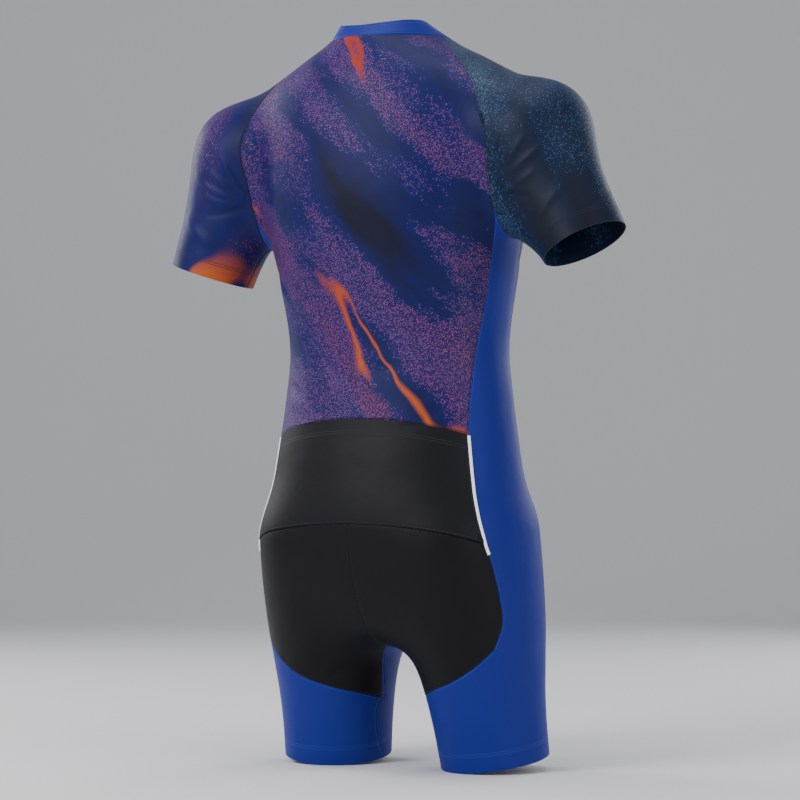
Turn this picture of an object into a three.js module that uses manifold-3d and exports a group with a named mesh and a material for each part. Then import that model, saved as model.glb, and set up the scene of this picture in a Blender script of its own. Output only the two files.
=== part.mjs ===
// A short-sleeved one-piece triathlon suit, standing filled out as it is worn, in millimetres.
// +Z is up, the chest faces -Y and the wearer's left is +X. The origin is at the middle of
// the neck's base, level with the shoulder seams that carry the suit.
// The suit is cut from separate panels, and each is a thin wall on one smooth, general figure.

import * as THREE from 'three';
import { mergeVertices } from 'three/addons/utils/BufferGeometryUtils.js';
import Module from 'manifold-3d';

const wasm = await Module();
wasm.setup();

// Cloth
const clothThickness = 1.2;
const seamGap = 0.4;          // between two panels that meet at a seam
const layerGap = 0.3;         // between a panel and what lies on it

// Zip
const zipEndZ = -432;
const zipProud = 0.2;         // how far the tape stands out of the fronts
const zipThickness = 1.6;
const slider = { width: 7, length: 10, thickness: 2, lift: 0.5, down: 9 };
const bridge = { width: 2, length: 7.4, eyeLength: 4.6, eyeHeight: 2.4, beam: 1.2 };
const pull = {
  barRadius: 0.7, width: 6.4, arm: 1.3, reach: 5.6, length: 21, thickness: 1.2, lap: 0.5,
};

// Reflective piping beside the pocket: its section narrows above the shoulder's height to the
// top's share of its width, and it stops short of its last points by the given share of a step.
const piping = { width: 4, height: 1.7, shoulder: 0.55, top: 0.5, short: 0.04 };

// The trunk's level sections: height, half width, reach to the front and the back, and the
// exponent of the superellipse, where 2 is an ellipse and more is squarer.
const trunkSections = [
  { z: 70, halfWidth: 48, front: 22, back: 84, power: 2 },
  { z: 42, halfWidth: 50, front: 25, back: 86, power: 2 },
  { z: 22, halfWidth: 59, front: 36, back: 92, power: 2 },
  { z: 0, halfWidth: 79, front: 48, back: 108, power: 2 },
  { z: -22, halfWidth: 121, front: 63, back: 118, power: 2 },
  { z: -48, halfWidth: 161, front: 79, back: 127, power: 2.05 },
  { z: -85, halfWidth: 181, front: 95, back: 134, power: 2.15 },
  { z: -130, halfWidth: 175, front: 104, back: 139, power: 2.25 },
  { z: -200, halfWidth: 165, front: 110, back: 139, power: 2.35 },
  { z: -280, halfWidth: 152, front: 105, back: 125, power: 2.35 },
  { z: -370, halfWidth: 142, front: 94, back: 105, power: 2.25 },
  { z: -440, halfWidth: 149, front: 94, back: 107, power: 2.2 },
  { z: -520, halfWidth: 159, front: 96, back: 119, power: 2.2 },
  { z: -590, halfWidth: 157, front: 94, back: 126, power: 2.2 },
  { z: -650, halfWidth: 152, front: 90, back: 116, power: 2.2 },
  { z: -700, halfWidth: 142, front: 83, back: 98, power: 2.2 },
  { z: -760, halfWidth: 131, front: 71, back: 80, power: 2.2 },
];
const trunkFloor = { z: -738, round: 100 };

// Limbs: where each starts, which way it runs, and its sections: the distance down it, and
// its half widths across and from front to back.
const shoulder = {
  start: [70, 18, -68], run: [1, 0.03, -0.4], reach: 146,
  sections: [
    { down: 0, across: 47, deep: 61 },
    { down: 70, across: 49, deep: 63 },
    { down: 150, across: 50, deep: 61 },
  ],
};
const arm = {
  start: [205, 31, -131], run: [0.335, 0.04, -1], reach: Infinity,
  sections: [
    { down: 0, across: 58, deep: 62 },
    { down: 50, across: 58, deep: 60 },
    { down: 110, across: 55, deep: 57 },
    { down: 190, across: 51, deep: 53 },
    { down: 300, across: 48, deep: 49 },
  ],
};
const leg = {
  start: [94, 0, -610], run: [0.07, -0.145, -1], reach: Infinity,
  sections: [
    { down: 0, across: 82, deep: 110 },
    { down: 60, across: 82, deep: 104 },
    { down: 110, across: 80, deep: 95 },
    { down: 150, across: 76, deep: 86 },
    { down: 200, across: 70, deep: 77 },
    { down: 250, across: 67, deep: 71 },
    { down: 400, across: 62, deep: 66 },
  ],
};
const blend = { shoulder: 50, arm: 86, leg: 60 };
const midlineSoftness = 10;   // rounds the valley between the two legs
const cuffDown = 154;         // how far down the arm the sleeve ends
const raised = { degrees: 9, x: 190, z: -125, rideUp: 9 };   // the right arm's lift, and where it turns
const hemDown = 273;          // how far down the leg the short ends
const sleeveBend = { middle: 60, swing: 90 };   // how far down the arm the sleeve's rings bend

// Fitting the panels to the figure
const slopeStep = 0.5;        // the figure's slope is taken this far each way
const leastSlope = 0.05;
const farthestMove = 25;
const closeEnough = 0.005;
const sameEnd = 2.5;          // seam ends nearer than this are one point
const evenRounds = 40;
const evenShare = 0.8;        // how far a point moves to its neighbours' middle in one round
const weldParts = 1000;       // points are told apart by the thousandth of a millimetre

// Seams on the wearer's left, each as the places that it runs through. The right is its mirror.
const seamPlaces = {
  backNeck: [
    { x: 0, y: 101, z: -2 }, { x: 30, y: 97, z: 0 }, { x: 56, y: 76, z: 6 },
    { x: 70, y: 46, z: 9 }, { x: 72, y: 16, z: 8 },
  ],
  sleeveNeck: [{ x: 72, y: 16, z: 8 }, { x: 72, y: 0, z: 2 }, { x: 66, y: -16, z: -5 }],
  frontNeck: [{ x: 66, y: -16, z: -5 }, { x: 44, y: -36, z: -20 }, { x: 4.5, y: -56, z: -38 }],
  collarTop: [
    { x: 0, y: 93, z: 16 }, { x: 28, y: 87, z: 18 }, { x: 47, y: 62, z: 23 },
    { x: 52, y: 28, z: 25 }, { x: 44, y: -8, z: 18 }, { x: 25, y: -40, z: 0 },
    { x: 4.5, y: -54, z: -12 },
  ],
  backRaglan: [
    { x: 72, y: 16, z: 8 }, { x: 96, y: 42, z: -8 }, { x: 118, y: 64, z: -33 },
    { x: 146, y: 82, z: -60 }, { x: 160, y: 94, z: -90 }, { x: 170, y: 99, z: -116 },
    { x: 171, y: 98, z: -142 }, { x: 168, y: 90, z: -168 }, { x: 168, y: 68, z: -213 },
  ],
  frontRaglan: [
    { x: 66, y: -16, z: -5 }, { x: 96, y: -38, z: -42 }, { x: 124, y: -50, z: -80 },
    { x: 147, y: -50, z: -122 }, { x: 165, y: -37, z: -168 }, { x: 179, y: -12, z: -219 },
  ],
  backArmhole: [{ x: 168, y: 68, z: -213 }, { x: 169, y: 51, z: -237 }, { x: 171, y: 30, z: -248 }],
  frontArmhole: [{ x: 171, y: 30, z: -248 }, { x: 175, y: 6, z: -240 }, { x: 179, y: -12, z: -219 }],
  backSideUpper: [
    { x: 168, y: 68, z: -213 }, { x: 158, y: 48, z: -256 }, { x: 144, y: 38, z: -312 },
    { x: 132, y: 45, z: -378 }, { x: 129, y: 57, z: -440 }, { x: 132, y: 65, z: -482 },
  ],
  pocketSide: [
    { x: 132, y: 65, z: -482 }, { x: 139, y: 69, z: -522 }, { x: 155, y: 79, z: -576 },
    { x: 165, y: 77, z: -611 },
  ],
  seatSide: [
    { x: 165, y: 77, z: -611 }, { x: 169, y: 66, z: -640 }, { x: 172, y: 52, z: -682 },
    { x: 170, y: 46, z: -710 }, { x: 161, y: 52, z: -740 },
  ],
  seatHem: [
    { x: 161, y: 52, z: -740 }, { x: 140, y: 66, z: -763 }, { x: 108, y: 72, z: -782 },
    { x: 74, y: 58, z: -792 }, { x: 46, y: 24, z: -800 }, { x: 34, y: -26, z: -808 },
  ],
  pocketTop: [
    { x: 0, y: 117, z: -462 }, { x: 50, y: 112, z: -464 }, { x: 96, y: 95, z: -471 },
    { x: 132, y: 65, z: -482 },
  ],
  seatTop: [
    { x: 0, y: 134, z: -588 }, { x: 60, y: 131, z: -590 }, { x: 122, y: 114, z: -597 },
    { x: 165, y: 77, z: -611 },
  ],
  backMiddle: [
    { x: 0, y: 134, z: -588 }, { x: 0, y: 126, z: -640 }, { x: 0, y: 92, z: -700 },
    { x: 0, y: 30, z: -738 },
  ],
  frontSide: [
    { x: 179, y: -12, z: -219 }, { x: 160, y: -30, z: -258 }, { x: 143, y: -36, z: -314 },
    { x: 132, y: -36, z: -380 }, { x: 136, y: -40, z: -440 }, { x: 143, y: -44, z: -482 },
  ],
  frontHem: [
    { x: 143, y: -44, z: -482 }, { x: 110, y: -74, z: -496 }, { x: 60, y: -90, z: -510 },
    { x: 0, y: -95, z: -516 },
  ],
  hip: [{ x: 132, y: 65, z: -482 }, { x: 150, y: 14, z: -480 }, { x: 143, y: -44, z: -482 }],
  frontMiddle: [
    { x: 0, y: -95, z: -516 }, { x: 0, y: -92, z: -600 }, { x: 0, y: -80, z: -680 },
    { x: 0, y: -30, z: -732 }, { x: 0, y: 30, z: -738 },
  ],
  thigh: [
    { x: 0, y: 30, z: -738 }, { x: 26, y: -62, z: -738 }, { x: 70, y: -112, z: -732 },
    { x: 130, y: -96, z: -728 }, { x: 176, y: -30, z: -732 }, { x: 161, y: 52, z: -740 },
  ],
  inseamUpper: [{ x: 0, y: 30, z: -738 }, { x: 20, y: -4, z: -768 }, { x: 34, y: -26, z: -808 }],
  zipEdge: [
    { x: 4.5, y: -56, z: -38 }, { x: 4.5, y: -88, z: -80 }, { x: 4.5, y: -108, z: -170 },
    { x: 4.5, y: -106, z: -280 }, { x: 4.5, y: -94, z: -370 }, { x: 4.5, y: -92, z: zipEndZ },
  ],
  frontSeam: [{ x: 0, y: -92, z: zipEndZ - 12 }, { x: 0, y: -95, z: -516 }],
};

// How many steps each seam is divided into. The panels that meet there share its points.
const steps = {
  backNeck: 8, sleeveNeck: 2, frontNeck: 8, backRaglan: 11, frontRaglan: 9, armhole: 4,
  backSideUpper: 11, pocketSide: 5, seatSide: 9, seatHem: 8, frontSide: 11, frontHem: 8,
  hip: 8, frontMiddle: 14, inseamUpper: 4, backMiddle: 5, legBelow: 5,
  zipEdge: 17, frontSeam: 2, sleeveLength: 10, collarHeight: 2,
};

// The figure

// Reads a table's columns at any place along it, on a cubic through its rows.
function readTable(rows, key, at) {
  const columns = Object.keys(rows[0]).filter((column) => column !== key);
  const down = rows[0][key] > rows[rows.length - 1][key];
  const order = down ? [...rows].reverse() : rows;
  const last = order.length - 1;
  const place = Math.min(Math.max(at, order[0][key]), order[last][key]);
  let i = 0;
  while (i < last - 1 && place > order[i + 1][key]) i += 1;
  const slope = (k, column) => (k === 0 || k === last ? 0
    : (order[k + 1][column] - order[k - 1][column]) / (order[k + 1][key] - order[k - 1][key]));
  const h = order[i + 1][key] - order[i][key];
  const t = (place - order[i][key]) / h;
  const blendA = 2 * t ** 3 - 3 * t ** 2 + 1;
  const blendB = t ** 3 - 2 * t ** 2 + t;
  const blendC = t ** 3 - t ** 2;
  const out = {};
  for (const column of columns) {
    out[column] = blendA * order[i][column] + blendB * h * slope(i, column)
      + (1 - blendA) * order[i + 1][column] + blendC * h * slope(i + 1, column);
  }
  return out;
}

// Tables are read once a millimetre, and the figure looks its sizes up in these lists.
function fineTable(rows, key) {
  const values = rows.map((row) => row[key]);
  const low = Math.min(...values);
  const list = [];
  for (let at = low; at <= Math.max(...values); at += 1) list.push(readTable(rows, key, at));
  return { low, list, columns: Object.keys(list[0]) };
}

function lookUp(table, at) {
  const place = Math.min(Math.max(at - table.low, 0), table.list.length - 1.001);
  const i = Math.floor(place);
  const t = place - i;
  const out = {};
  for (const column of table.columns) {
    out[column] = table.list[i][column] * (1 - t) + table.list[i + 1][column] * t;
  }
  return out;
}

// The lesser of two distances, with the corner between them rounded.
function join(a, b, round) {
  const h = Math.max(round - Math.abs(a - b), 0) / round;
  return Math.min(a, b) - (h ** 3 * round) / 6;
}

const trunkTable = fineTable(trunkSections, 'z');

function trunkDistance(p) {
  const s = lookUp(trunkTable, p.z);
  const deep = p.y > 0 ? s.back : s.front;
  const away = Math.hypot(p.x, p.y) + 1e-9;
  const share = ((Math.abs(p.x) / s.halfWidth) ** s.power
    + (Math.abs(p.y) / deep) ** s.power) ** (1 / s.power) + 1e-9;
  return -join(-away * (1 - 1 / share), p.z - trunkFloor.z, trunkFloor.round);
}

function makeLimb({ start, run, reach, sections }) {
  const axis = new THREE.Vector3(...run).normalize();
  const front = new THREE.Vector3(0, -1, 0);
  front.addScaledVector(axis, -front.dot(axis)).normalize();
  const side = new THREE.Vector3().crossVectors(front, axis);
  const table = fineTable(sections, 'down');
  const origin = new THREE.Vector3(...start);
  const q = new THREE.Vector3();
  const distance = (p) => {
    q.set(Math.hypot(p.x, midlineSoftness), p.y, p.z).sub(origin);
    const t = q.dot(axis);
    const s = lookUp(table, t);
    const over = Math.min(t, 0) + Math.max(t - reach, 0);
    const x = q.dot(side);
    const y = q.dot(front);
    const away = Math.hypot(x, y, over) + 1e-9;
    return away * (1 - 1 / (Math.hypot(x / s.across, y / s.deep, over / s.across) + 1e-9));
  };
  return { origin, axis, front, side, table, distance };
}

const shoulderLimb = makeLimb(shoulder);
const armLimb = makeLimb(arm);
const legLimb = makeLimb(leg);

// How far a point lies outside the figure.
function figure(p) {
  const upper = join(trunkDistance(p), shoulderLimb.distance(p), blend.shoulder);
  return join(join(upper, armLimb.distance(p), blend.arm), legLimb.distance(p), blend.leg);
}

const probe = new THREE.Vector3();
function gradient(p) {
  const g = [0, 0, 0];
  for (let k = 0; k < 3; k += 1) {
    probe.copy(p).setComponent(k, p.getComponent(k) + slopeStep);
    g[k] = figure(probe);
    probe.copy(p).setComponent(k, p.getComponent(k) - slopeStep);
    g[k] -= figure(probe);
  }
  return new THREE.Vector3(...g);
}

// Moves a point onto the figure.
function settle(p, rounds = 6) {
  for (let k = 0; k < rounds; k += 1) {
    const g = gradient(p);
    const step = THREE.MathUtils.clamp(figure(p), -farthestMove, farthestMove);
    p.addScaledVector(g, -step / Math.max(g.lengthSq(), leastSlope));
    if (Math.abs(step) < closeEnough) break;
  }
  return p;
}

// Seams

const vector = ({ x, y, z }) => new THREE.Vector3(x, y, z);
const mirrored = (p) => new THREE.Vector3(-p.x, p.y, p.z);

function seam(name, count, keepX) {
  const curve = new THREE.CatmullRomCurve3(seamPlaces[name].map(vector), false, 'centripetal');
  return curve.getSpacedPoints(count).map((p) => {
    const x = p.x;
    settle(p);
    if (keepX) {
      for (let k = 0; k < 4; k += 1) settle(p.setX(x), 2);
      p.setX(x);
    }
    return p;
  });
}

// Every seam in the list, sampled, with the ends that lie together made one point.
const onMiddle = ['backMiddle', 'frontMiddle', 'zipEdge', 'frontSeam'];
const seams = {};
for (const name of Object.keys(seamPlaces)) {
  if (name === 'collarTop') continue;
  let count = steps[name];
  if (name === 'pocketTop' || name === 'seatTop') count = steps.backNeck;
  if (name === 'backArmhole' || name === 'frontArmhole') count = steps.armhole;
  if (name === 'thigh') count = steps.frontHem + steps.hip;
  seams[name] = seam(name, count, onMiddle.includes(name));
}
const ends = [];
for (const name of [...onMiddle, ...Object.keys(seams)]) {
  for (const place of [0, seams[name].length - 1]) {
    const match = ends.find((end) => end.distanceTo(seams[name][place]) < sameEnd);
    if (match) seams[name][place].copy(match);
    else ends.push(seams[name][place].clone());
  }
}

// Strings seams together, each after the first starting where the last one ended.
// A name with a minus sign before it runs backwards.
function run(...names) {
  const out = [];
  for (const name of names) {
    const points = name.startsWith('-') ? [...seams[name.slice(1)]].reverse() : seams[name];
    out.push(...(out.length && out.at(-1).distanceTo(points[0]) < 1e-6 ? points.slice(1) : points));
  }
  return out;
}

// A half seam and its mirror as one, from the wearer's right to the left.
const across = (points) => [...points.slice(1).reverse().map(mirrored), ...points];

// A ring round a limb, square across it, at the angles given in degrees.
// Angles turn from the limb's outer side to the back, the inner side and the front.
function limbRing(limb, down, angles) {
  const size = lookUp(limb.table, down);
  return angles.map((degrees) => {
    const angle = THREE.MathUtils.degToRad(degrees);
    const p = limb.origin.clone().addScaledVector(limb.axis, down);
    p.addScaledVector(limb.side, size.across * Math.cos(angle));
    return p.addScaledVector(limb.front, -size.deep * Math.sin(angle));
  });
}

// Panels

// A panel between four borders, as rows of points. It starts as the borders' blend, and then
// its points are evened out and kept on the figure.
function panel(top, bottom, left, right) {
  const width = top.length - 1;
  const height = left.length - 1;
  const rows = [];
  for (let j = 0; j <= height; j += 1) {
    const v = j / height;
    rows.push([]);
    for (let i = 0; i <= width; i += 1) {
      const u = i / width;
      const p = new THREE.Vector3();
      p.addScaledVector(top[i], 1 - v).addScaledVector(bottom[i], v);
      p.addScaledVector(left[j], 1 - u).addScaledVector(right[j], u);
      p.addScaledVector(top[0], -(1 - u) * (1 - v)).addScaledVector(top[width], -u * (1 - v));
      p.addScaledVector(bottom[0], -(1 - u) * v).addScaledVector(bottom[width], -u * v);
      rows[j].push(p);
    }
  }
  return even(rows, false);
}

// Evens out a grid of points on the figure, with its borders fixed. A round grid closes on
// itself, and its first and last columns are the same points.
function even(rows, round) {
  const height = rows.length - 1;
  const width = rows[0].length - 1;
  const first = round ? 0 : 1;
  for (let j = 1; j < height; j += 1) {
    for (let i = first; i < width; i += 1) settle(rows[j][i], 8);
  }
  const middle = new THREE.Vector3();
  for (let k = 0; k < evenRounds; k += 1) {
    for (let j = 1; j < height; j += 1) {
      for (let i = first; i < width; i += 1) {
        const before = i === 0 ? width - 1 : i - 1;
        middle.copy(rows[j][before]).add(rows[j][i + 1]).add(rows[j - 1][i]).add(rows[j + 1][i]);
        settle(rows[j][i].lerp(middle.divideScalar(4), evenShare), 1);
      }
      if (round) rows[j][width].copy(rows[j][0]);
    }
  }
  for (let j = 1; j < height; j += 1) {
    for (let i = first; i < width; i += 1) settle(rows[j][i], 6);
    if (round) rows[j][width].copy(rows[j][0]);
  }
  return rows;
}

// Whether most of these triangles face out of the figure.
function facesOut(points, faces) {
  let sum = 0;
  for (const [a, b, c] of faces) {
    const n = points[b].clone().sub(points[a]).cross(points[c].clone().sub(points[a]));
    sum += n.dot(gradient(points[a]));
  }
  return sum > 0;
}

// Joins grids of points into one sheet: points that lie together become one, and each square
// is two triangles.
function weld(grids) {
  const points = [];
  const faces = [];
  const found = new Map();
  const number = (p) => {
    const key = p.toArray().map((value) => Math.round(value * weldParts)).join(' ');
    if (!found.has(key)) {
      found.set(key, points.length);
      points.push(p.clone());
    }
    return found.get(key);
  };
  for (const rows of grids) {
    const own = [];
    for (let j = 0; j < rows.length - 1; j += 1) {
      for (let i = 0; i < rows[0].length - 1; i += 1) {
        const [a, b] = [number(rows[j][i]), number(rows[j][i + 1])];
        const [c, d] = [number(rows[j + 1][i + 1]), number(rows[j + 1][i])];
        own.push([a, d, c], [a, c, b]);
      }
    }
    faces.push(...(facesOut(points, own) ? own : own.map(([a, b, c]) => [a, c, b])));
  }
  return { points, faces };
}

// The outward directions at a sheet's points: the figure's own, or else the sheet's.
function outward({ points, faces }, onFigure) {
  if (onFigure) return points.map((p) => gradient(p).normalize());
  const normals = points.map(() => new THREE.Vector3());
  for (const [a, b, c] of faces) {
    const n = points[b].clone().sub(points[a]).cross(points[c].clone().sub(points[a]));
    for (const k of [a, b, c]) normals[k].add(n);
  }
  return normals.map((n) => n.normalize());
}

// A sheet's open border: for each point on it, the points before and after it.
function borderOf({ faces }) {
  const used = new Set(faces.flatMap(([a, b, c]) => [`${a} ${b}`, `${b} ${c}`, `${c} ${a}`]));
  const before = new Map();
  const after = new Map();
  for (const edge of used) {
    const [a, b] = edge.split(' ').map(Number);
    if (!used.has(`${b} ${a}`)) {
      after.set(a, b);
      before.set(b, a);
    }
  }
  return { before, after };
}

// A closed wall from a sheet. Its border is drawn in by the inset that the given function
// returns for each border point, and it lies between two distances out from the sheet.
function wall(sheet, { inner, outer, onFigure = true, inset = () => seamGap / 2 }) {
  const normals = outward(sheet, onFigure);
  const { before, after } = borderOf(sheet);
  const points = sheet.points.map((p) => p.clone());
  for (const [k, next] of after) {
    const inwards = [[before.get(k), k], [k, next]].map(([a, b]) => {
      const along = sheet.points[b].clone().sub(sheet.points[a]);
      return new THREE.Vector3().crossVectors(normals[k], along).normalize();
    });
    const move = inwards[0].clone().add(inwards[1]);
    const shrink = Math.max(1 + inwards[0].dot(inwards[1]), 0.5);
    points[k].addScaledVector(move, inset(sheet.points[k]) / shrink);
  }
  const count = points.length;
  const places = [];
  for (const out of [outer, inner]) {
    points.forEach((p, k) => places.push(p.x + normals[k].x * out, p.y + normals[k].y * out,
      p.z + normals[k].z * out));
  }
  const index = [];
  for (const [a, b, c] of sheet.faces) index.push(a, b, c, a + count, c + count, b + count);
  for (const [a, b] of after) {
    const [c, d] = [a + count, b + count];
    if (sheet.points[a].z > sheet.points[b].z) index.push(a, c, b, b, c, d);
    else index.push(a, c, d, a, d, b);
  }
  const geometry = new THREE.BufferGeometry();
  geometry.setAttribute('position', new THREE.Float32BufferAttribute(places, 3));
  geometry.setIndex(index);
  return geometry;
}

const mirrorRows = (rows) => rows.map((row) => row.map(mirrored));

// The wearer's left half of a panel that is the same on both sides.
function half(rows) {
  const middle = (rows[0].length - 1) / 2;
  for (const row of rows) row[middle].setX(0);
  return rows.map((row) => row.slice(middle));
}
const cloth = { inner: -clothThickness, outer: 0 };

// Back: the wearer's right is its left border.
const backSide = run('backRaglan', 'backSideUpper');
const backUpper = half(panel(across(seams.backNeck), across(seams.pocketTop),
  backSide.map(mirrored), backSide));
const backLower = half(panel(across(seams.pocketTop), across(seams.seatTop),
  seams.pocketSide.map(mirrored), seams.pocketSide));

// Seat, one half
const seatLeft = panel(seams.seatTop, run('-seatHem'), run('backMiddle', 'inseamUpper'),
  seams.seatSide);

// Side and leg: the side down to the hip, the hip down to the thigh, and the leg below.
const sideUpper = panel(run('-frontArmhole', '-backArmhole'), run('-hip'), seams.frontSide,
  seams.backSideUpper);
const sideMiddle = panel(run('-frontHem', '-hip'), seams.thigh, seams.frontMiddle,
  run('pocketSide', 'seatSide'));
const legTop = run('-inseamUpper', 'thigh', 'seatHem');
const thighStart = steps.inseamUpper;
const thighEnd = thighStart + steps.frontHem + steps.hip;
const hemKnots = [
  { step: 0, angle: 180 }, { step: thighStart, angle: 204 },
  { step: thighEnd, angle: 414 }, { step: legTop.length - 1, angle: 540 },
];
const hemAngles = legTop.map((_, k) => {
  const j = Math.max(1, hemKnots.findIndex((knot) => knot.step >= k));
  const [a, b] = [hemKnots[j - 1], hemKnots[j]];
  return a.angle + ((b.angle - a.angle) * (k - a.step)) / (b.step - a.step);
});
const hem = limbRing(legLimb, hemDown, hemAngles).map((p) => settle(p));
hem[hem.length - 1].copy(hem[0]);
const legBelow = [];
for (let j = 0; j <= steps.legBelow; j += 1) {
  legBelow.push(legTop.map((p, k) => p.clone().lerp(hem[k], j / steps.legBelow)));
}
even(legBelow, true);

// Sleeve: rings from the raglan seam to the cuff, bent over the shoulder.
const sleeveTop = run('-backArmhole', '-backRaglan', 'sleeveNeck', 'frontRaglan', '-frontArmhole');
const sleeveAngles = sleeveTop.map((_, k) => 180 - (360 * k) / (sleeveTop.length - 1));
const cuff = limbRing(armLimb, cuffDown, sleeveAngles).map((p) => settle(p));
cuff[cuff.length - 1].copy(cuff[0]);
const overShoulder = sleeveAngles.map((angle) => {
  const down = sleeveBend.middle - sleeveBend.swing * Math.cos(THREE.MathUtils.degToRad(angle));
  return limbRing(armLimb, down, [angle])[0];
});
const sleeveRows = [];
for (let j = 0; j <= steps.sleeveLength; j += 1) {
  const t = j / steps.sleeveLength;
  sleeveRows.push(sleeveTop.map((p, k) => p.clone().multiplyScalar((1 - t) ** 2)
    .addScaledVector(overShoulder[k], 2 * t * (1 - t)).addScaledVector(cuff[k], t * t)));
}
even(sleeveRows, true);

// The sleeve with the arm raised, still as the wearer's left: its rows are turned outwards and
// ride up the arm, from nothing at the seam to the whole angle at the cuff.
const raisedRows = sleeveRows.map((row, j) => {
  const share = THREE.MathUtils.smoothstep(j / steps.sleeveLength, 0, 1);
  const angle = THREE.MathUtils.degToRad(raised.degrees * share);
  return row.map((p) => {
    const up = p.clone().addScaledVector(armLimb.axis, -raised.rideUp * share);
    const [x, z] = [up.x - raised.x, up.z - raised.z];
    return new THREE.Vector3(raised.x + x * Math.cos(angle) - z * Math.sin(angle), up.y,
      raised.z + z * Math.cos(angle) + x * Math.sin(angle));
  });
});

// Front: the wearer's left
const frontLeft = panel(run('-frontNeck'), run('-frontHem'), run('zipEdge', 'frontSeam'),
  run('frontRaglan', 'frontSide'));

// Collar: its rows run from the zip's left edge round the back to the right edge.
const neckHalf = run('-frontNeck', '-sleeveNeck', '-backNeck');
const reached = [0];
neckHalf.slice(1).forEach((p, k) => reached.push(reached[k] + p.distanceTo(neckHalf[k])));
const collarPlaces = seamPlaces.collarTop.map(vector).reverse();
const collarCurve = new THREE.CatmullRomCurve3(collarPlaces, false, 'centripetal');
const collarHalf = reached.map((far) => collarCurve.getPointAt(far / reached.at(-1)));
const neckLoop = [...neckHalf, ...neckHalf.slice(0, -1).reverse().map(mirrored)];
const collarLoop = [...collarHalf, ...collarHalf.slice(0, -1).reverse().map(mirrored)];
const collarRows = [];
for (let j = 0; j <= steps.collarHeight; j += 1) {
  const t = j / steps.collarHeight;
  collarRows.push(neckLoop.map((p, k) => p.clone().lerp(collarLoop[k], t)));
}

// Colours, in linear light
const colours = {
  blue: [0.012, 0.035, 0.26], seat: [0.006, 0.006, 0.008], charcoal: [0.022, 0.023, 0.032],
  print: [0.016, 0.018, 0.07], reflective: [0.55, 0.57, 0.6], tape: [0.01, 0.012, 0.03],
  metal: [0.35, 0.36, 0.38],
};

const suit = new THREE.Group();
function add(name, colour, geometry, look = {}) {
  const material = new THREE.MeshStandardMaterial({
    color: new THREE.Color(...colours[colour]), roughness: 0.7, metalness: 0, ...look,
  });
  const mesh = new THREE.Mesh(geometry, material);
  mesh.name = name;
  suit.add(mesh);
}

// Adds a piece and its mirror for the wearer's left and right.
function addPair(name, colour, grids, options, look) {
  add(`${name}_left`, colour, wall(weld(grids), options), look);
  add(`${name}_right`, colour, wall(weld(grids.map(mirrorRows)), options), look);
}

add('collar', 'blue', wall(weld([collarRows]), { ...cloth, onFigure: false }));
const backHalf = [backUpper, backLower];
add('back_panel', 'print', wall(weld([...backHalf, ...backHalf.map(mirrorRows)]), cloth));
add('seat_panel', 'seat', wall(weld([seatLeft, mirrorRows(seatLeft)]), cloth));
addPair('side_leg', 'blue', [sideUpper, sideMiddle, legBelow], cloth);
add('sleeve_left', 'print', wall(weld([sleeveRows]), cloth));
add('sleeve_right', 'print', wall(weld([mirrorRows(raisedRows)]), { ...cloth, onFigure: false }));
addPair('front', 'print', [frontLeft], cloth);

// Pocket: the lower back's points, drawn in beside the piping, and moved out.
const pocketHalf = backLower.map((row) => {
  const edge = row.at(-1).clone();
  const inwards = row.at(-2).clone().sub(edge);
  edge.addScaledVector(inwards, (piping.width / 2 + seamGap / 2) / inwards.length());
  return [...row.slice(0, -1), edge];
});
add('pocket_panel', 'charcoal', wall(weld([pocketHalf, mirrorRows(pocketHalf)]),
  { inner: layerGap, outer: layerGap + clothThickness }));

// Sweeps a closed profile of [across, out] pairs along points on the figure.
function sweep(path, profile) {
  const places = [];
  path.forEach((p, j) => {
    const along = path[Math.min(j + 1, path.length - 1)].clone().sub(path[Math.max(j - 1, 0)]);
    const normal = gradient(p).normalize();
    const side = new THREE.Vector3().crossVectors(along, normal).normalize();
    for (const [c, out] of profile) {
      places.push(...p.clone().addScaledVector(side, c).addScaledVector(normal, out).toArray());
    }
  });
  const index = [];
  const n = profile.length;
  for (let j = 0; j < path.length - 1; j += 1) {
    for (let i = 0; i < n; i += 1) {
      const [a, b] = [j * n + i, j * n + ((i + 1) % n)];
      index.push(a, b + n, b, a, a + n, b + n);
    }
  }
  const last = (path.length - 1) * n;
  for (let i = 1; i < n - 1; i += 1) index.push(0, i, i + 1, last, last + i + 1, last + i);
  const geometry = new THREE.BufferGeometry();
  geometry.setAttribute('position', new THREE.Float32BufferAttribute(places, 3));
  geometry.setIndex(index);
  return geometry;
}

// Piping: a low strip over the side seam, level with the pocket and one step below it.
const pipingPath = [...seams.pocketSide, seams.seatSide[1]].map((p) => p.clone());
pipingPath[0].lerp(pipingPath[1], piping.short);
pipingPath.at(-1).lerp(pipingPath.at(-2), piping.short);
const flat = piping.width / 2;
const shoulderHeight = piping.height * piping.shoulder;
const top = flat * piping.top;
const pipingProfile = [[-flat, layerGap], [flat, layerGap], [flat, shoulderHeight],
  [top, piping.height], [-top, piping.height], [-flat, shoulderHeight]];
const strip = sweep(pipingPath, pipingProfile);
add('piping_left', 'reflective', strip, { roughness: 0.35 });
const mirror = new THREE.Matrix4().makeScale(-1, 1, 1);

// Turns a mirrored shape's faces out again.
function turnedOut(geometry) {
  const index = geometry.index.array;
  for (let k = 0; k < index.length; k += 3) {
    const second = index[k + 1];
    index[k + 1] = index[k + 2];
    index[k + 2] = second;
  }
  return geometry;
}
add('piping_right', 'reflective', turnedOut(strip.clone().applyMatrix4(mirror)), { roughness: 0.35 });

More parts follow.
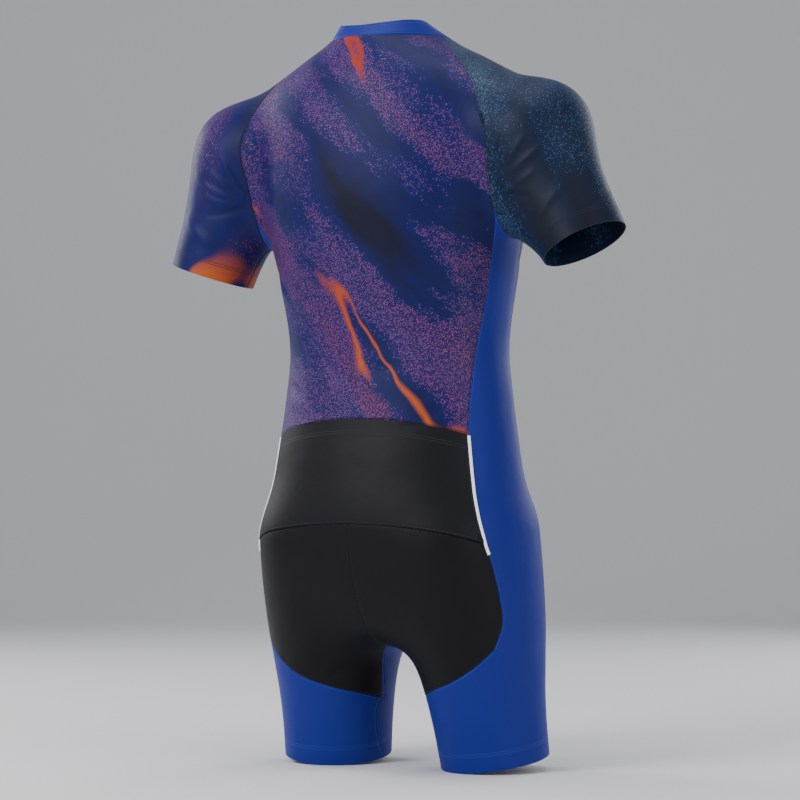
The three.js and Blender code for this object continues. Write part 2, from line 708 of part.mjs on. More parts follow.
// Zip tape, from the top of the collar down between the fronts
const zipSide = [...collarRows.map((row) => row[0]).reverse(), ...seams.zipEdge.slice(1)];
const zipRows = zipSide.map((p) => [mirrored(p), new THREE.Vector3(0, p.y, p.z), p]);
add('zip_tape', 'tape', wall(weld([zipRows]),
  { inner: zipProud - zipThickness, outer: zipProud, onFigure: false }));

// Slider and pull, made flat and then stood on the tape: +X across, +Y up the zip, +Z out.
const collarTopEdge = collarRows.at(-1)[0];
const collarFoot = collarRows[0][0];
const upZip = collarTopEdge.clone().sub(collarFoot).setX(0).normalize();
const outZip = new THREE.Vector3(1, 0, 0).cross(upZip);
const onTape = new THREE.Vector3(0, collarTopEdge.y, collarTopEdge.z).addScaledVector(upZip, -slider.down)
  .addScaledVector(outZip, zipProud);
const stand = new THREE.Matrix4().makeBasis(new THREE.Vector3(1, 0, 0), upZip, outZip).setPosition(onTape);

// A solid from one of the closed three.js shapes, so that it can be joined to others.
function solid(geometry) {
  geometry.deleteAttribute('normal');
  geometry.deleteAttribute('uv');
  const merged = mergeVertices(geometry, 1e-4);
  return new wasm.Manifold(new wasm.Mesh({
    numProp: 3,
    vertProperties: new Float32Array(merged.attributes.position.array),
    triVerts: new Uint32Array(merged.index.array),
  }));
}
const block = (x, y, z, place) => solid(new THREE.BoxGeometry(x, y, z).translate(...place));

// The shapes joined, and stood on the tape.
function onZip(shapes) {
  const mesh = wasm.Manifold.union(shapes).getMesh();
  const geometry = new THREE.BufferGeometry();
  geometry.setAttribute('position', new THREE.BufferAttribute(new Float32Array(mesh.vertProperties), 3));
  geometry.setIndex(Array.from(mesh.triVerts));
  return geometry.applyMatrix4(stand);
}

const eyeFoot = slider.lift + slider.thickness;
const bridgeHeight = bridge.eyeHeight + bridge.beam;
const postLength = (bridge.length - bridge.eyeLength) / 2;
const postPlace = (bridge.length - postLength) / 2;
const metal = { roughness: 0.35, metalness: 1 };
add('zip_slider', 'metal', onZip([
  block(slider.width, slider.length, slider.thickness, [0, 0, slider.lift + slider.thickness / 2]),
  block(bridge.width, postLength, bridgeHeight, [0, postPlace, eyeFoot + bridgeHeight / 2]),
  block(bridge.width, postLength, bridgeHeight, [0, -postPlace, eyeFoot + bridgeHeight / 2]),
  block(bridge.width, bridge.length, bridge.beam, [0, 0, eyeFoot + bridgeHeight - bridge.beam / 2]),
]), metal);

// The pull: a bar through the bridge's eye, two arms, and a tab with a round end.
const pivot = eyeFoot + bridge.eyeHeight / 2;
const armPlace = (pull.width - pull.arm) / 2;
const roundEnd = pull.length - pull.width / 2;
const armLength = pull.reach + pull.lap;
add('zip_pull', 'metal', onZip([
  solid(new THREE.CylinderGeometry(pull.barRadius, pull.barRadius, pull.width, 12)
    .rotateZ(Math.PI / 2).translate(0, 0, pivot)),
  solid(new THREE.CylinderGeometry(pull.width / 2, pull.width / 2, pull.thickness, 24)
    .rotateX(Math.PI / 2).translate(0, -roundEnd, pivot)),
  block(pull.width, roundEnd - pull.reach, pull.thickness, [0, -(roundEnd + pull.reach) / 2, pivot]),
  block(pull.arm, armLength, pull.thickness, [armPlace, -armLength / 2, pivot]),
  block(pull.arm, armLength, pull.thickness, [-armPlace, -armLength / 2, pivot]),
]), metal);

export default suit;
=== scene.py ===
import math
import bpy
import numpy as np
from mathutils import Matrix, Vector


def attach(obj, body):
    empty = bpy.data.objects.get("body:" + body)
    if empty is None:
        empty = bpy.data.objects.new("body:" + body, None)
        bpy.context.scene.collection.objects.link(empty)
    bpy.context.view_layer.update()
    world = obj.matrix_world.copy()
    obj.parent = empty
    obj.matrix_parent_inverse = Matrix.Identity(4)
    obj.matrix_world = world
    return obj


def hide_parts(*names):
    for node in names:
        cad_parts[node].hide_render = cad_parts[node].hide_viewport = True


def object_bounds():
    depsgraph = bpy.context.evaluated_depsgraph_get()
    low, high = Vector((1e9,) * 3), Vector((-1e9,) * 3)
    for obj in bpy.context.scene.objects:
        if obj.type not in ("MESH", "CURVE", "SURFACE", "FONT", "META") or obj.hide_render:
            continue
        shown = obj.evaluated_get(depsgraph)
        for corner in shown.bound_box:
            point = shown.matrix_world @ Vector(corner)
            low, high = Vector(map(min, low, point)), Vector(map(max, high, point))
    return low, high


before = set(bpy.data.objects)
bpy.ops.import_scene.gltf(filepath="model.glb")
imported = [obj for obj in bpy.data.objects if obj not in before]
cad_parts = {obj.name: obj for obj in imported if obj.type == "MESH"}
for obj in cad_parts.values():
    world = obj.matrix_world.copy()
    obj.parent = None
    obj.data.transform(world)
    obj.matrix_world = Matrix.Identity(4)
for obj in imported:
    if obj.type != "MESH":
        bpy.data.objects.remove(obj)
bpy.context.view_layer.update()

# A short-sleeved triathlon suit, filled out as it is worn. The panels are surfaces on one general figure.
# Lengths in the tables are millimetres, and every mesh is made in metres.
mm = 0.001
print("frame loaded")

# The general figure: a trunk of superellipse rings by height, and limbs of elliptical rings along straight axes.
trunk = {
    "z":         [70, 42, 22, 0, -22, -48, -85, -130, -200, -280, -370, -440, -520, -590, -650, -700, -760],
    "halfWidth": [48, 50, 59, 79, 121, 161, 181, 175, 165, 152, 142, 149, 159, 157, 152, 142, 131],
    "front":     [22, 25, 36, 48, 63, 79, 95, 104, 110, 105, 94, 94, 96, 94, 90, 83, 71],
    "back":      [84, 86, 92, 108, 118, 127, 134, 139, 139, 125, 105, 107, 119, 126, 116, 98, 80],
    "power":     [2, 2, 2, 2, 2, 2.05, 2.15, 2.25, 2.35, 2.35, 2.25, 2.2, 2.2, 2.2, 2.2, 2.2, 2.2],
}
trunkFloor = {"z": -738, "round": 100}
limbs = {
    "shoulder": {"start": (70, 18, -68), "run": (1, 0.03, -0.4), "reach": 146,
                 "down": [0, 70, 150], "across": [47, 49, 50], "deep": [61, 63, 61]},
    "arm": {"start": (205, 31, -131), "run": (0.335, 0.04, -1), "reach": 1e4,
            "down": [0, 50, 110, 190, 300], "across": [58, 58, 55, 51, 48], "deep": [62, 60, 57, 53, 49]},
    "leg": {"start": (94, 0, -610), "run": (0.07, -0.145, -1), "reach": 1e4,
            "down": [0, 60, 110, 150, 200, 250, 400], "across": [82, 82, 80, 76, 70, 67, 62],
            "deep": [110, 104, 95, 86, 77, 71, 66]},
}
blends = {"shoulder": 50, "arm": 86, "leg": 60}
midlineSoftness = 10


# A smooth curve through a table's rows: cubic Hermite pieces, each row's slope that of its two neighbours.
def fineTable(table, key):
    order = np.argsort(table[key])
    at = np.array(table[key], float)[order]
    fine = np.arange(at[0], at[-1] + 1)
    part = np.clip(np.searchsorted(at, fine, side="right") - 1, 0, len(at) - 2)
    span = at[part + 1] - at[part]
    t = (fine - at[part]) / span
    columns = {}
    for name in table:
        if name in (key, "start", "run", "reach"):
            continue
        value = np.array(table[name], float)[order]
        slope = np.zeros(len(at))
        slope[1:-1] = (value[2:] - value[:-2]) / (at[2:] - at[:-2])
        columns[name] = ((2 * t**3 - 3 * t**2 + 1) * value[part] + (t**3 - 2 * t**2 + t) * span * slope[part]
                         + (3 * t**2 - 2 * t**3) * value[part + 1] + (t**3 - t**2) * span * slope[part + 1])
    return {"at": fine, "columns": columns}


trunkFine = fineTable(trunk, "z")
limbFine = {name: fineTable(limb, "down") for name, limb in limbs.items()}


# The lesser of two distances, with a cubic fillet where they are within the given length of each other.
def joined(a, b, length):
    h = np.maximum(length - np.abs(a - b), 0) / length
    return np.minimum(a, b) - h**3 * length / 6


# Distance from a superellipse ring that changes with height, closed off below by a rounded floor.
def trunkDistance(p):
    x, y, z = p[..., 0], p[..., 1], p[..., 2]
    size = {name: np.interp(z, trunkFine["at"], column) for name, column in trunkFine["columns"].items()}
    deep = np.where(y > 0, size["back"], size["front"])
    away = np.hypot(x, y) + 1e-9
    share = ((np.abs(x) / size["halfWidth"])**size["power"] + (np.abs(y) / deep)**size["power"])**(1 / size["power"])
    return -joined(-away * (1 - 1 / (share + 1e-9)), z - trunkFloor["z"], trunkFloor["round"])


# A limb's own directions: along it (its run divided by its length), square to that towards the front, and square
# to both, outwards.
def limbAxes(name):
    axis = np.array(limbs[name]["run"], float)
    axis /= np.linalg.norm(axis)
    front = np.array((0.0, -1.0, 0.0))
    front -= axis * (front @ axis)
    front /= np.linalg.norm(front)
    return axis, front, np.cross(front, axis)


# Distance from an elliptical tube along a straight axis, with round ends. Both sides share one formula.
def limbDistance(p, name):
    limb, fine = limbs[name], limbFine[name]
    axis, front, side = limbAxes(name)
    q = np.stack([np.hypot(p[..., 0], midlineSoftness), p[..., 1], p[..., 2]], -1) - np.array(limb["start"], float)
    t = q @ axis
    across = np.interp(t, fine["at"], fine["columns"]["across"])
    deep = np.interp(t, fine["at"], fine["columns"]["deep"])
    over = np.minimum(t, 0) + np.maximum(t - limb["reach"], 0)
    x, y = q @ side, q @ front
    away = np.sqrt(x**2 + y**2 + over**2) + 1e-9
    return away * (1 - 1 / (np.sqrt((x / across)**2 + (y / deep)**2 + (over / across)**2) + 1e-9))


# Distance from the whole figure: trunk, shoulder, arm and leg, each joined to the rest over its blend's length.
def figure(p):
    upper = joined(trunkDistance(p), limbDistance(p, "shoulder"), blends["shoulder"])
    return joined(joined(upper, limbDistance(p, "arm"), blends["arm"]), limbDistance(p, "leg"), blends["leg"])


# The figure's slope: the change in distance between half a millimetre either way, along x, y and z.
def slopeOf(p):
    step = 0.5 * np.eye(3)
    return np.stack([figure(p + step[k]) - figure(p - step[k]) for k in range(3)], -1)


# Moves points onto the figure: each round goes down the slope by distance / slope squared, with the move limited.
longestMove = 25
leastSlope = 0.05


def settle(p, rounds):
    for _ in range(rounds):
        g = slopeOf(p)
        move = np.clip(figure(p), -longestMove, longestMove) / np.maximum((g * g).sum(-1), leastSlope)
        p = p - g * move[..., None]
    return p


# Vectors divided by their lengths.
def unit(v):
    return v / np.maximum(np.linalg.norm(v, axis=-1, keepdims=True), 1e-12)


# Seams on the wearer's left, each as the places that it runs through: rows of x, y, z.
seamPlaces = {
    "backNeck": [(0, 101, -2), (30, 97, 0), (56, 76, 6), (70, 46, 9), (72, 16, 8)],
    "sleeveNeck": [(72, 16, 8), (72, 0, 2), (66, -16, -5)],
    "frontNeck": [(66, -16, -5), (44, -36, -20), (4.5, -56, -38)],
    "collarTop": [(0, 93, 16), (28, 87, 18), (47, 62, 23), (52, 28, 25), (44, -8, 18), (25, -40, 0),
                  (4.5, -54, -12)],
    "backRaglan": [(72, 16, 8), (96, 42, -8), (118, 64, -33), (146, 82, -60), (160, 94, -90), (170, 99, -116),
                   (171, 98, -142), (168, 90, -168), (168, 68, -213)],
    "frontRaglan": [(66, -16, -5), (96, -38, -42), (124, -50, -80), (147, -50, -122), (165, -37, -168),
                    (179, -12, -219)],
    "backArmhole": [(168, 68, -213), (169, 51, -237), (171, 30, -248)],
    "frontArmhole": [(171, 30, -248), (175, 6, -240), (179, -12, -219)],
    "backSideUpper": [(168, 68, -213), (158, 48, -256), (144, 38, -312), (132, 45, -378), (129, 57, -440),
                      (132, 65, -482)],
    "pocketSide": [(132, 65, -482), (139, 69, -522), (155, 79, -576), (165, 77, -611)],
    "seatSide": [(165, 77, -611), (169, 66, -640), (172, 52, -682), (170, 46, -710), (161, 52, -740)],
    "seatHem": [(161, 52, -740), (140, 66, -763), (108, 72, -782), (74, 58, -792), (46, 24, -800), (34, -26, -808)],
    "pocketTop": [(0, 117, -462), (50, 112, -464), (96, 95, -471), (132, 65, -482)],
    "seatTop": [(0, 134, -588), (60, 131, -590), (122, 114, -597), (165, 77, -611)],
    "backMiddle": [(0, 134, -588), (0, 126, -640), (0, 92, -700), (0, 30, -738)],
    "frontSide": [(179, -12, -219), (160, -30, -258), (143, -36, -314), (132, -36, -380), (136, -40, -440),
                  (143, -44, -482)],
    "frontHem": [(143, -44, -482), (110, -74, -496), (60, -90, -510), (0, -95, -516)],
    "hip": [(132, 65, -482), (150, 14, -480), (143, -44, -482)],
    "frontMiddle": [(0, -95, -516), (0, -92, -600), (0, -80, -680), (0, -30, -732), (0, 30, -738)],
    "thigh": [(0, 30, -738), (26, -62, -738), (70, -112, -732), (130, -96, -728), (176, -30, -732), (161, 52, -740)],
    "inseamUpper": [(0, 30, -738), (20, -4, -768), (34, -26, -808)],
    "zipEdge": [(4.5, -56, -38), (4.5, -88, -80), (4.5, -108, -170), (4.5, -106, -280), (4.5, -94, -370),
                (4.5, -92, -432)],
    "frontSeam": [(0, -92, -444), (0, -95, -516)],
}
onMiddle = ("backMiddle", "frontMiddle", "zipEdge", "frontSeam")
steps = {"backNeck": 8, "sleeveNeck": 2, "frontNeck": 8, "backRaglan": 11, "frontRaglan": 9, "backArmhole": 4,
         "frontArmhole": 4, "backSideUpper": 11, "pocketSide": 5, "seatSide": 9, "seatHem": 8, "frontSide": 11,
         "frontHem": 8, "hip": 8, "frontMiddle": 14, "inseamUpper": 4, "backMiddle": 5, "legBelow": 5, "zipEdge": 17,
         "frontSeam": 2, "pocketTop": 8, "seatTop": 8, "thigh": 16, "sleeveLength": 10, "collarHeight": 2}
cuffDown = 154                                 # down the arm from its start
hemDown = 273                                  # down the leg from its start
sameEnd = 2.5                                  # seam ends nearer than this are one point


# Weights that carry values at whole numbers to places between them: a cubic through four neighbours,
# one-sided at the knots, so that two curves through the same points between two knots are the same.
def cubicWeights(count, at, knots=(), closed=False):
    last = count - 1
    part = np.clip(np.floor(at + 1e-9).astype(int), 0, last - 1)
    t = at - part
    weights = np.zeros((len(at), count))
    rows = np.arange(len(at))
    stops = set(knots) | (set() if closed else {0, last})
    isStop = np.array([k in stops for k in range(count)])

    def slope(k, forward):
        out = np.zeros((len(at), count))
        before, after = k - 1, k + 1
        if closed:
            before, after = np.where(before < 0, last - 1, before), np.where(after > last, 1, after)
        alone = isStop[k]
        ahead = k + 1 if forward else k
        np.add.at(out, (rows, np.where(alone, ahead, np.clip(after, 0, last))), np.where(alone, 1.0, 0.5))
        np.add.at(out, (rows, np.where(alone, ahead - 1, np.clip(before, 0, last))), np.where(alone, -1.0, -0.5))
        return out

    np.add.at(weights, (rows, part), 2 * t**3 - 3 * t**2 + 1)
    np.add.at(weights, (rows, part + 1), 3 * t**2 - 2 * t**3)
    weights += (t**3 - 2 * t**2 + t)[:, None] * slope(part, True)
    weights += (t**3 - t**2)[:, None] * slope(part + 1, False)
    return weights


# Places along a curve through the given points, evenly by its length or at the given shares of it: the cubic is
# drawn with short chords, their lengths are summed, and the places are read off that sum.
def along(points, count=None, at=None):
    points = np.array(points, float)
    chords = 40 * len(points)
    fine = cubicWeights(len(points), np.linspace(0, len(points) - 1, chords)) @ points
    far = np.concatenate([[0], np.cumsum(np.linalg.norm(np.diff(fine, axis=0), axis=1))])
    wanted = (np.linspace(0, 1, count + 1) if at is None else at) * far[-1]
    return np.stack([np.interp(wanted, far, fine[:, k]) for k in range(3)], -1)


seams = {}
ends = []
for name, places in seamPlaces.items():
    if name == "collarTop":
        continue
    line = along(places, steps[name])
    settled = settle(line, 6)
    if name in onMiddle:
        for _ in range(4):
            settled[:, 0] = line[:, 0]
            settled = settle(settled, 2)
        settled[:, 0] = line[:, 0]
    seams[name] = settled
for name in onMiddle + tuple(seams):           # ends that lie together become one point
    for k in (0, -1):
        match = [end for end in ends if np.linalg.norm(end - seams[name][k]) < sameEnd]
        if match:
            seams[name][k] = match[0]
        else:
            ends.append(seams[name][k].copy())


# Seams strung together. A name with a minus sign before it runs backwards.
def strung(*names):
    lines = [seams[name[1:]][::-1] if name[0] == "-" else seams[name] for name in names]
    out = lines[0]
    for line in lines[1:]:
        near = np.linalg.norm(out[-1] - line[0]) < 1e-6
        out = np.concatenate([out, line[1:] if near else line])
    return out


mirrored = np.array((-1.0, 1.0, 1.0))


# A seam from the middle joined to its mirror: from the wearer's right, over the middle, to the left.
def across(line):
    return np.concatenate([line[:0:-1] * mirrored, line])


# Points round a limb, square across it: start + axis * down + side * wide * cos(angle) - front * deep * sin(angle).
def limbRing(name, down, degrees):
    axis, front, side = limbAxes(name)
    angle = np.radians(degrees)[:, None]
    columns = limbFine[name]["columns"]
    wide = np.interp(down, limbFine[name]["at"], columns["across"])
    deep = np.interp(down, limbFine[name]["at"], columns["deep"])
    down = np.broadcast_to(np.asarray(down, float), (len(degrees),))[:, None]
    wide = np.broadcast_to(wide, (len(degrees),))[:, None]
    deep = np.broadcast_to(deep, (len(degrees),))[:, None]
    middle = np.array(limbs[name]["start"]) + axis * down
    return middle + side * wide * np.cos(angle) - front * deep * np.sin(angle)


# Evens out a grid on the figure: in each round a point becomes its own share of itself and the rest of the mean
# of its four neighbours, and goes back onto the figure. The border stays.
evening = {"rounds": 70, "own": 0.3, "mean": 0.7}


def evened(rows, closed=False):
    rows = rows.copy()
    if closed:
        rows[1:-1] = settle(rows[1:-1], 8)
    else:
        rows[1:-1, 1:-1] = settle(rows[1:-1, 1:-1], 8)
    for _ in range(evening["rounds"]):
        if closed:
            ring = rows[:, :-1]
            mean = (np.roll(ring, 1, 1) + np.roll(ring, -1, 1))[1:-1] + ring[:-2] + ring[2:]
            rows[1:-1, :-1] = settle(evening["own"] * ring[1:-1] + evening["mean"] * mean / 4, 1)
            rows[1:-1, -1] = rows[1:-1, 0]
        else:
            mean = rows[1:-1, :-2] + rows[1:-1, 2:] + rows[:-2, 1:-1] + rows[2:, 1:-1]
            rows[1:-1, 1:-1] = settle(evening["own"] * rows[1:-1, 1:-1] + evening["mean"] * mean / 4, 1)
    return rows


# A panel between four borders: the sum of the two blends across, less the blend of the corners, evened out.
def panel(top, bottom, left, right):
    u = np.linspace(0, 1, len(top))[None, :, None]
    v = np.linspace(0, 1, len(left))[:, None, None]
    rows = top[None] * (1 - v) + bottom[None] * v + left[:, None] * (1 - u) + right[:, None] * u
    rows = rows - (top[0] * (1 - u) * (1 - v) + top[-1] * u * (1 - v) + bottom[0] * (1 - u) * v + bottom[-1] * u * v)
    rows[0], rows[-1], rows[:, 0], rows[:, -1] = top, bottom, left, right
    return evened(rows)


# Places along a side of a grid, from its coarse steps to fine ones, closer together beside the knots.
def finePlaces(count, knots, each):
    inner = np.arange(1, each) / each
    places = []
    for k in range(count - 1):
        extra = ([0.03, 0.07] if k in knots else []) + ([0.93, 0.97] if k + 1 in knots else [])
        places.append(np.sort(np.concatenate([[0], inner, extra])) + k)
    return np.concatenate(places + [[count - 1]])


# A finer grid: cubic weights down and then across the coarse one, and back onto the figure. The knots are the steps
# across, and the cross knots the steps down, where seams meet the grid's border.
def refined(rows, knots, crossKnots, each, closed=False, onFigure=True):
    down = finePlaces(rows.shape[0], set(crossKnots) | {0, rows.shape[0] - 1}, each)
    over = finePlaces(rows.shape[1], set(knots) | {0, rows.shape[1] - 1}, each)
    fine = np.einsum("ai,ijc->ajc", cubicWeights(rows.shape[0], down, crossKnots), rows)
    fine = np.einsum("bj,ajc->abc", cubicWeights(rows.shape[1], over, knots, closed), fine)
    return settle(fine, 3) if onFigure else fine


# Steps at which seams strung together end, each the sum of the steps up to there.
def knotsAt(*names):
    return np.cumsum([steps[name] for name in names]).tolist()


each = 7                  # fine steps in each coarse one
sleeveEach = 10

backSide = strung("backRaglan", "backSideUpper")
backUpper = refined(panel(across(seams["backNeck"]), across(seams["pocketTop"]), backSide * mirrored, backSide),
                    [], knotsAt("backRaglan"), each)
backLowerCoarse = panel(across(seams["pocketTop"]), across(seams["seatTop"]), seams["pocketSide"] * mirrored,
                        seams["pocketSide"])
backLower = refined(backLowerCoarse, [], [], each)
seatHalf = refined(panel(seams["seatTop"], seams["seatHem"][::-1], strung("backMiddle", "inseamUpper"),
                         seams["seatSide"]), [], knotsAt("backMiddle"), each)
sideUpper = refined(panel(strung("-frontArmhole", "-backArmhole"), seams["hip"][::-1], seams["frontSide"],
                          seams["backSideUpper"]), [], [], each)
sideMiddle = refined(panel(strung("-frontHem", "-hip"), seams["thigh"], seams["frontMiddle"],
                           strung("pocketSide", "seatSide")),
                     knotsAt("frontHem"), knotsAt("pocketSide", "backMiddle"), each)

# The leg goes down from its top seams to a ring at the hem, whose angles start and end at the inseam.
legTop = strung("-inseamUpper", "thigh", "seatHem")
hemAngles = np.interp(np.arange(len(legTop)), [0] + knotsAt("inseamUpper", "thigh", "seatHem"), [180, 204, 414, 540])
hemRing = settle(limbRing("leg", hemDown, hemAngles), 6)
hemRing[-1] = hemRing[0]
share = np.linspace(0, 1, steps["legBelow"] + 1)[:, None, None]
legBelow = refined(evened(legTop * (1 - share) + hemRing * share, True),
                   knotsAt("inseamUpper", "hip", "frontHem"), [], each, closed=True)

# The sleeve goes from its top seams to the cuff's ring by way of a slanting ring over the shoulder.
sleeveTop = strung("-backArmhole", "-backRaglan", "sleeveNeck", "frontRaglan", "-frontArmhole")
sleeveAngles = 180 - 360 * np.arange(len(sleeveTop)) / (len(sleeveTop) - 1)
slanting = {"down": 60, "swing": 90}
cuffRing = settle(limbRing("arm", cuffDown, sleeveAngles), 6)
cuffRing[-1] = cuffRing[0]
slantDown = slanting["down"] - slanting["swing"] * np.cos(np.radians(sleeveAngles))
overShoulder = limbRing("arm", slantDown, sleeveAngles)
share = np.linspace(0, 1, steps["sleeveLength"] + 1)[:, None, None]
sleeveCoarse = sleeveTop * (1 - share)**2 + overShoulder * 2 * share * (1 - share) + cuffRing * share**2
sleeve = refined(evened(sleeveCoarse, True), knotsAt("backArmhole", "backRaglan", "sleeveNeck", "frontRaglan"), [],
                 sleeveEach, closed=True)

# The wearer's right arm is raised: each row of that sleeve rides up the arm by a share of rideUp, and turns by the
# same share of the angle about a place beside the shoulder, seen from the front. The share is 3 s^2 - 2 s^3, where
# s is the row's part of the way from the neck to the cuff.
raised = {"degrees": 9, "x": 190, "z": -125, "rideUp": 9}
rowShare = finePlaces(steps["sleeveLength"] + 1, {0, steps["sleeveLength"]}, sleeveEach) / steps["sleeveLength"]
rowShare = (3 * rowShare**2 - 2 * rowShare**3)[:, None]
turned = np.radians(raised["degrees"]) * rowShare
ridden = sleeve - limbAxes("arm")[0] * (raised["rideUp"] * rowShare)[..., None]
outward, over = ridden[..., 0] - raised["x"], ridden[..., 2] - raised["z"]
raisedSleeve = np.stack([raised["x"] + outward * np.cos(turned) - over * np.sin(turned), ridden[..., 1],
                         raised["z"] + over * np.cos(turned) + outward * np.sin(turned)], -1)

front = refined(panel(seams["frontNeck"][::-1], seams["frontHem"][::-1], strung("zipEdge", "frontSeam"),
                      strung("frontRaglan", "frontSide")), [], knotsAt("frontRaglan"), each)

# The collar stands between the neck seam and its own top line, straight up in its height.
neckHalf = strung("-frontNeck", "-sleeveNeck", "-backNeck")
reached = np.concatenate([[0], np.cumsum(np.linalg.norm(np.diff(neckHalf, axis=0), axis=1))])
collarHalf = along(seamPlaces["collarTop"][::-1], at=reached / reached[-1])
neckLoop = np.concatenate([neckHalf, neckHalf[-2::-1] * mirrored])
collarLoop = np.concatenate([collarHalf, collarHalf[-2::-1] * mirrored])
share = np.linspace(0, 1, steps["collarHeight"] + 1)[:, None, None]
neckKnots = knotsAt("frontNeck", "sleeveNeck")
neckKnots += [len(neckLoop) - 1 - k for k in neckKnots]
collarRows = refined(neckLoop * (1 - share) + collarLoop * share, neckKnots, [], each, onFigure=False)
print("panels laid out")


# The main creases, as places on the suit between which each runs, with its half width and its height.
# A height below nought is a trough. Each stands on the wearer's left and, a little apart, on the right.
creases = {
    "from": [(174, 84, -190), (175, 82, -194), (173, 86, -186), (172, 88, -182), (175, 80, -200), (252, 66, -206),
             (262, 52, -246), (150, 60, -238), (146, 52, -268), (120, 66, -420), (108, 78, -446), (40, 100, -352),
             (60, 96, -392), (30, 40, -764), (60, 70, -758), (100, 84, -742), (150, 20, -742), (60, -86, -760),
             (20, -96, -560), (60, -92, -610), (112, -60, -470), (150, -30, -256), (160, -44, -196),
             (120, -86, -190)],
    "to": [(236, 72, -152), (232, 76, -176), (222, 86, -138), (200, 96, -130), (228, 70, -204), (222, 74, -246),
           (286, 20, -222), (104, 96, -262), (96, 98, -306), (76, 96, -446), (58, 100, -470), (90, 88, -366),
           (12, 106, -408), (78, 74, -800), (104, 80, -790), (146, 66, -776), (160, -30, -796), (130, -84, -806),
           (76, -88, -540), (124, -76, -588), (60, -92, -446), (110, -74, -286), (200, -34, -170), (150, -66, -150)],
    "width": [4.0, 4.0, 3.8, 3.8, 5.0, 6.0, 5.0, 7.0, 8.0, 7.0, 6.0, 10.0, 9.0, 6.0, 7.0, 7.0, 9.0, 8.0,
              8.0, 9.0, 8.0, 8.0, 5.0, 6.0],
    "height": [1.5, 1.3, 1.4, 1.2, -1.3, 1.4, -1.5, -1.6, -1.7, -1.5, -1.2, -1.2, -1.1, -1.4, -1.4, -1.2, -1.2, -1.2,
               -1.2, -1.2, -1.2, -1.4, -1.3, -1.1],
    "bend": [-7, -4, -8, -6, 3, -4, 3, 6, -6, 5, -4, 6, -5, 3, -4, 4, 5, -4, 4, -4, 4, -4, 2, 3],
}


creaseSteps = 12


# Height of the creases at points: each is height * exp(-(d / width)^2) * sin(pi t)^0.8, where d is the distance to
# its line and t the share of the way along it. The line bows by bend * sin(pi t) and lies on the figure.
def creased(points):
    total = np.zeros(len(points))
    share = np.linspace(0, 1, creaseSteps + 1)[:, None]
    for side in (1, -1):
        q = points * (side, 1, 1)
        for k, (start, end) in enumerate(zip(creases["from"], creases["to"])):
            start, end = np.array(start, float), np.array(end, float)
            if side < 0:                       # the right's creases lie a little apart from the left's mirror
                start = start + (2.0 * math.sin(5 * k), 0, 5.0 * math.sin(3 * k + 1))
                end = end + (2.0 * math.cos(4 * k), 0, 6.0 * math.cos(2 * k + 1))
            line = settle(start + (end - start) * share + np.sin(np.pi * share) * (0, 0, creases["bend"][k]), 6)
            reach = 3 * creases["width"][k]
            near = ((q > line.min(0) - reach) & (q < line.max(0) + reach)).all(1)
            away, far = toLines(q[near], [line])
            arch = np.sin(np.pi * far / np.linalg.norm(np.diff(line, axis=0), axis=1).sum()).clip(0)
            size = 1 if side > 0 else 0.8 + 0.3 * math.sin(7 * k)
            total[near] += creases["height"][k] * size * arch**0.8 * np.exp(-(away / creases["width"][k])**2)
    return total


# Distance from points to the nearest of several lines, and the length along that line to the nearest place: for
# each stretch, t = (point - start) . run / run^2 kept between nought and one. The points are taken a few at a time.
def toLines(points, lines, fewPoints=4000):
    starts = np.concatenate([line[:-1] for line in lines])
    runs = np.concatenate([np.diff(line, axis=0) for line in lines])
    size = np.linalg.norm(runs, axis=1)
    before = np.concatenate([np.concatenate([[0], np.cumsum(np.linalg.norm(np.diff(line, axis=0), axis=1))[:-1]])
                             for line in lines])
    away, far = np.empty(len(points)), np.empty(len(points))
    for k in range(0, len(points), fewPoints):
        q = points[k:k + fewPoints, None] - starts
        t = np.clip((q * runs).sum(-1) / size**2, 0, 1)
        d = np.linalg.norm(q - t[..., None] * runs, axis=-1)
        best = d.argmin(1)
        pick = np.arange(len(best))
        away[k:k + fewPoints] = d[pick, best]
        far[k:k + fewPoints] = before[best] + t[pick, best] * size[best]
    return away, far


# A line with four fine steps in each of its own, by cubic weights, settled on the figure.
def fineLine(points, onFigure=True):
    at = np.linspace(0, len(points) - 1, 4 * (len(points) - 1) + 1)
    line = cubicWeights(len(points), at) @ points
    return settle(line, 2) if onFigure else line


# An object of a mesh, lamp or camera, linked into the scene.
def added(name, data):
    made = bpy.data.objects.new(name, data)
    bpy.context.collection.objects.link(made)
    return made


weldsPerMm = 500                               # points of grids weld where these fine squares agree
seamDip = {"deep": 0.7, "halfWidth": 1.3, "creaseClear": 6}
noHem = 999.0


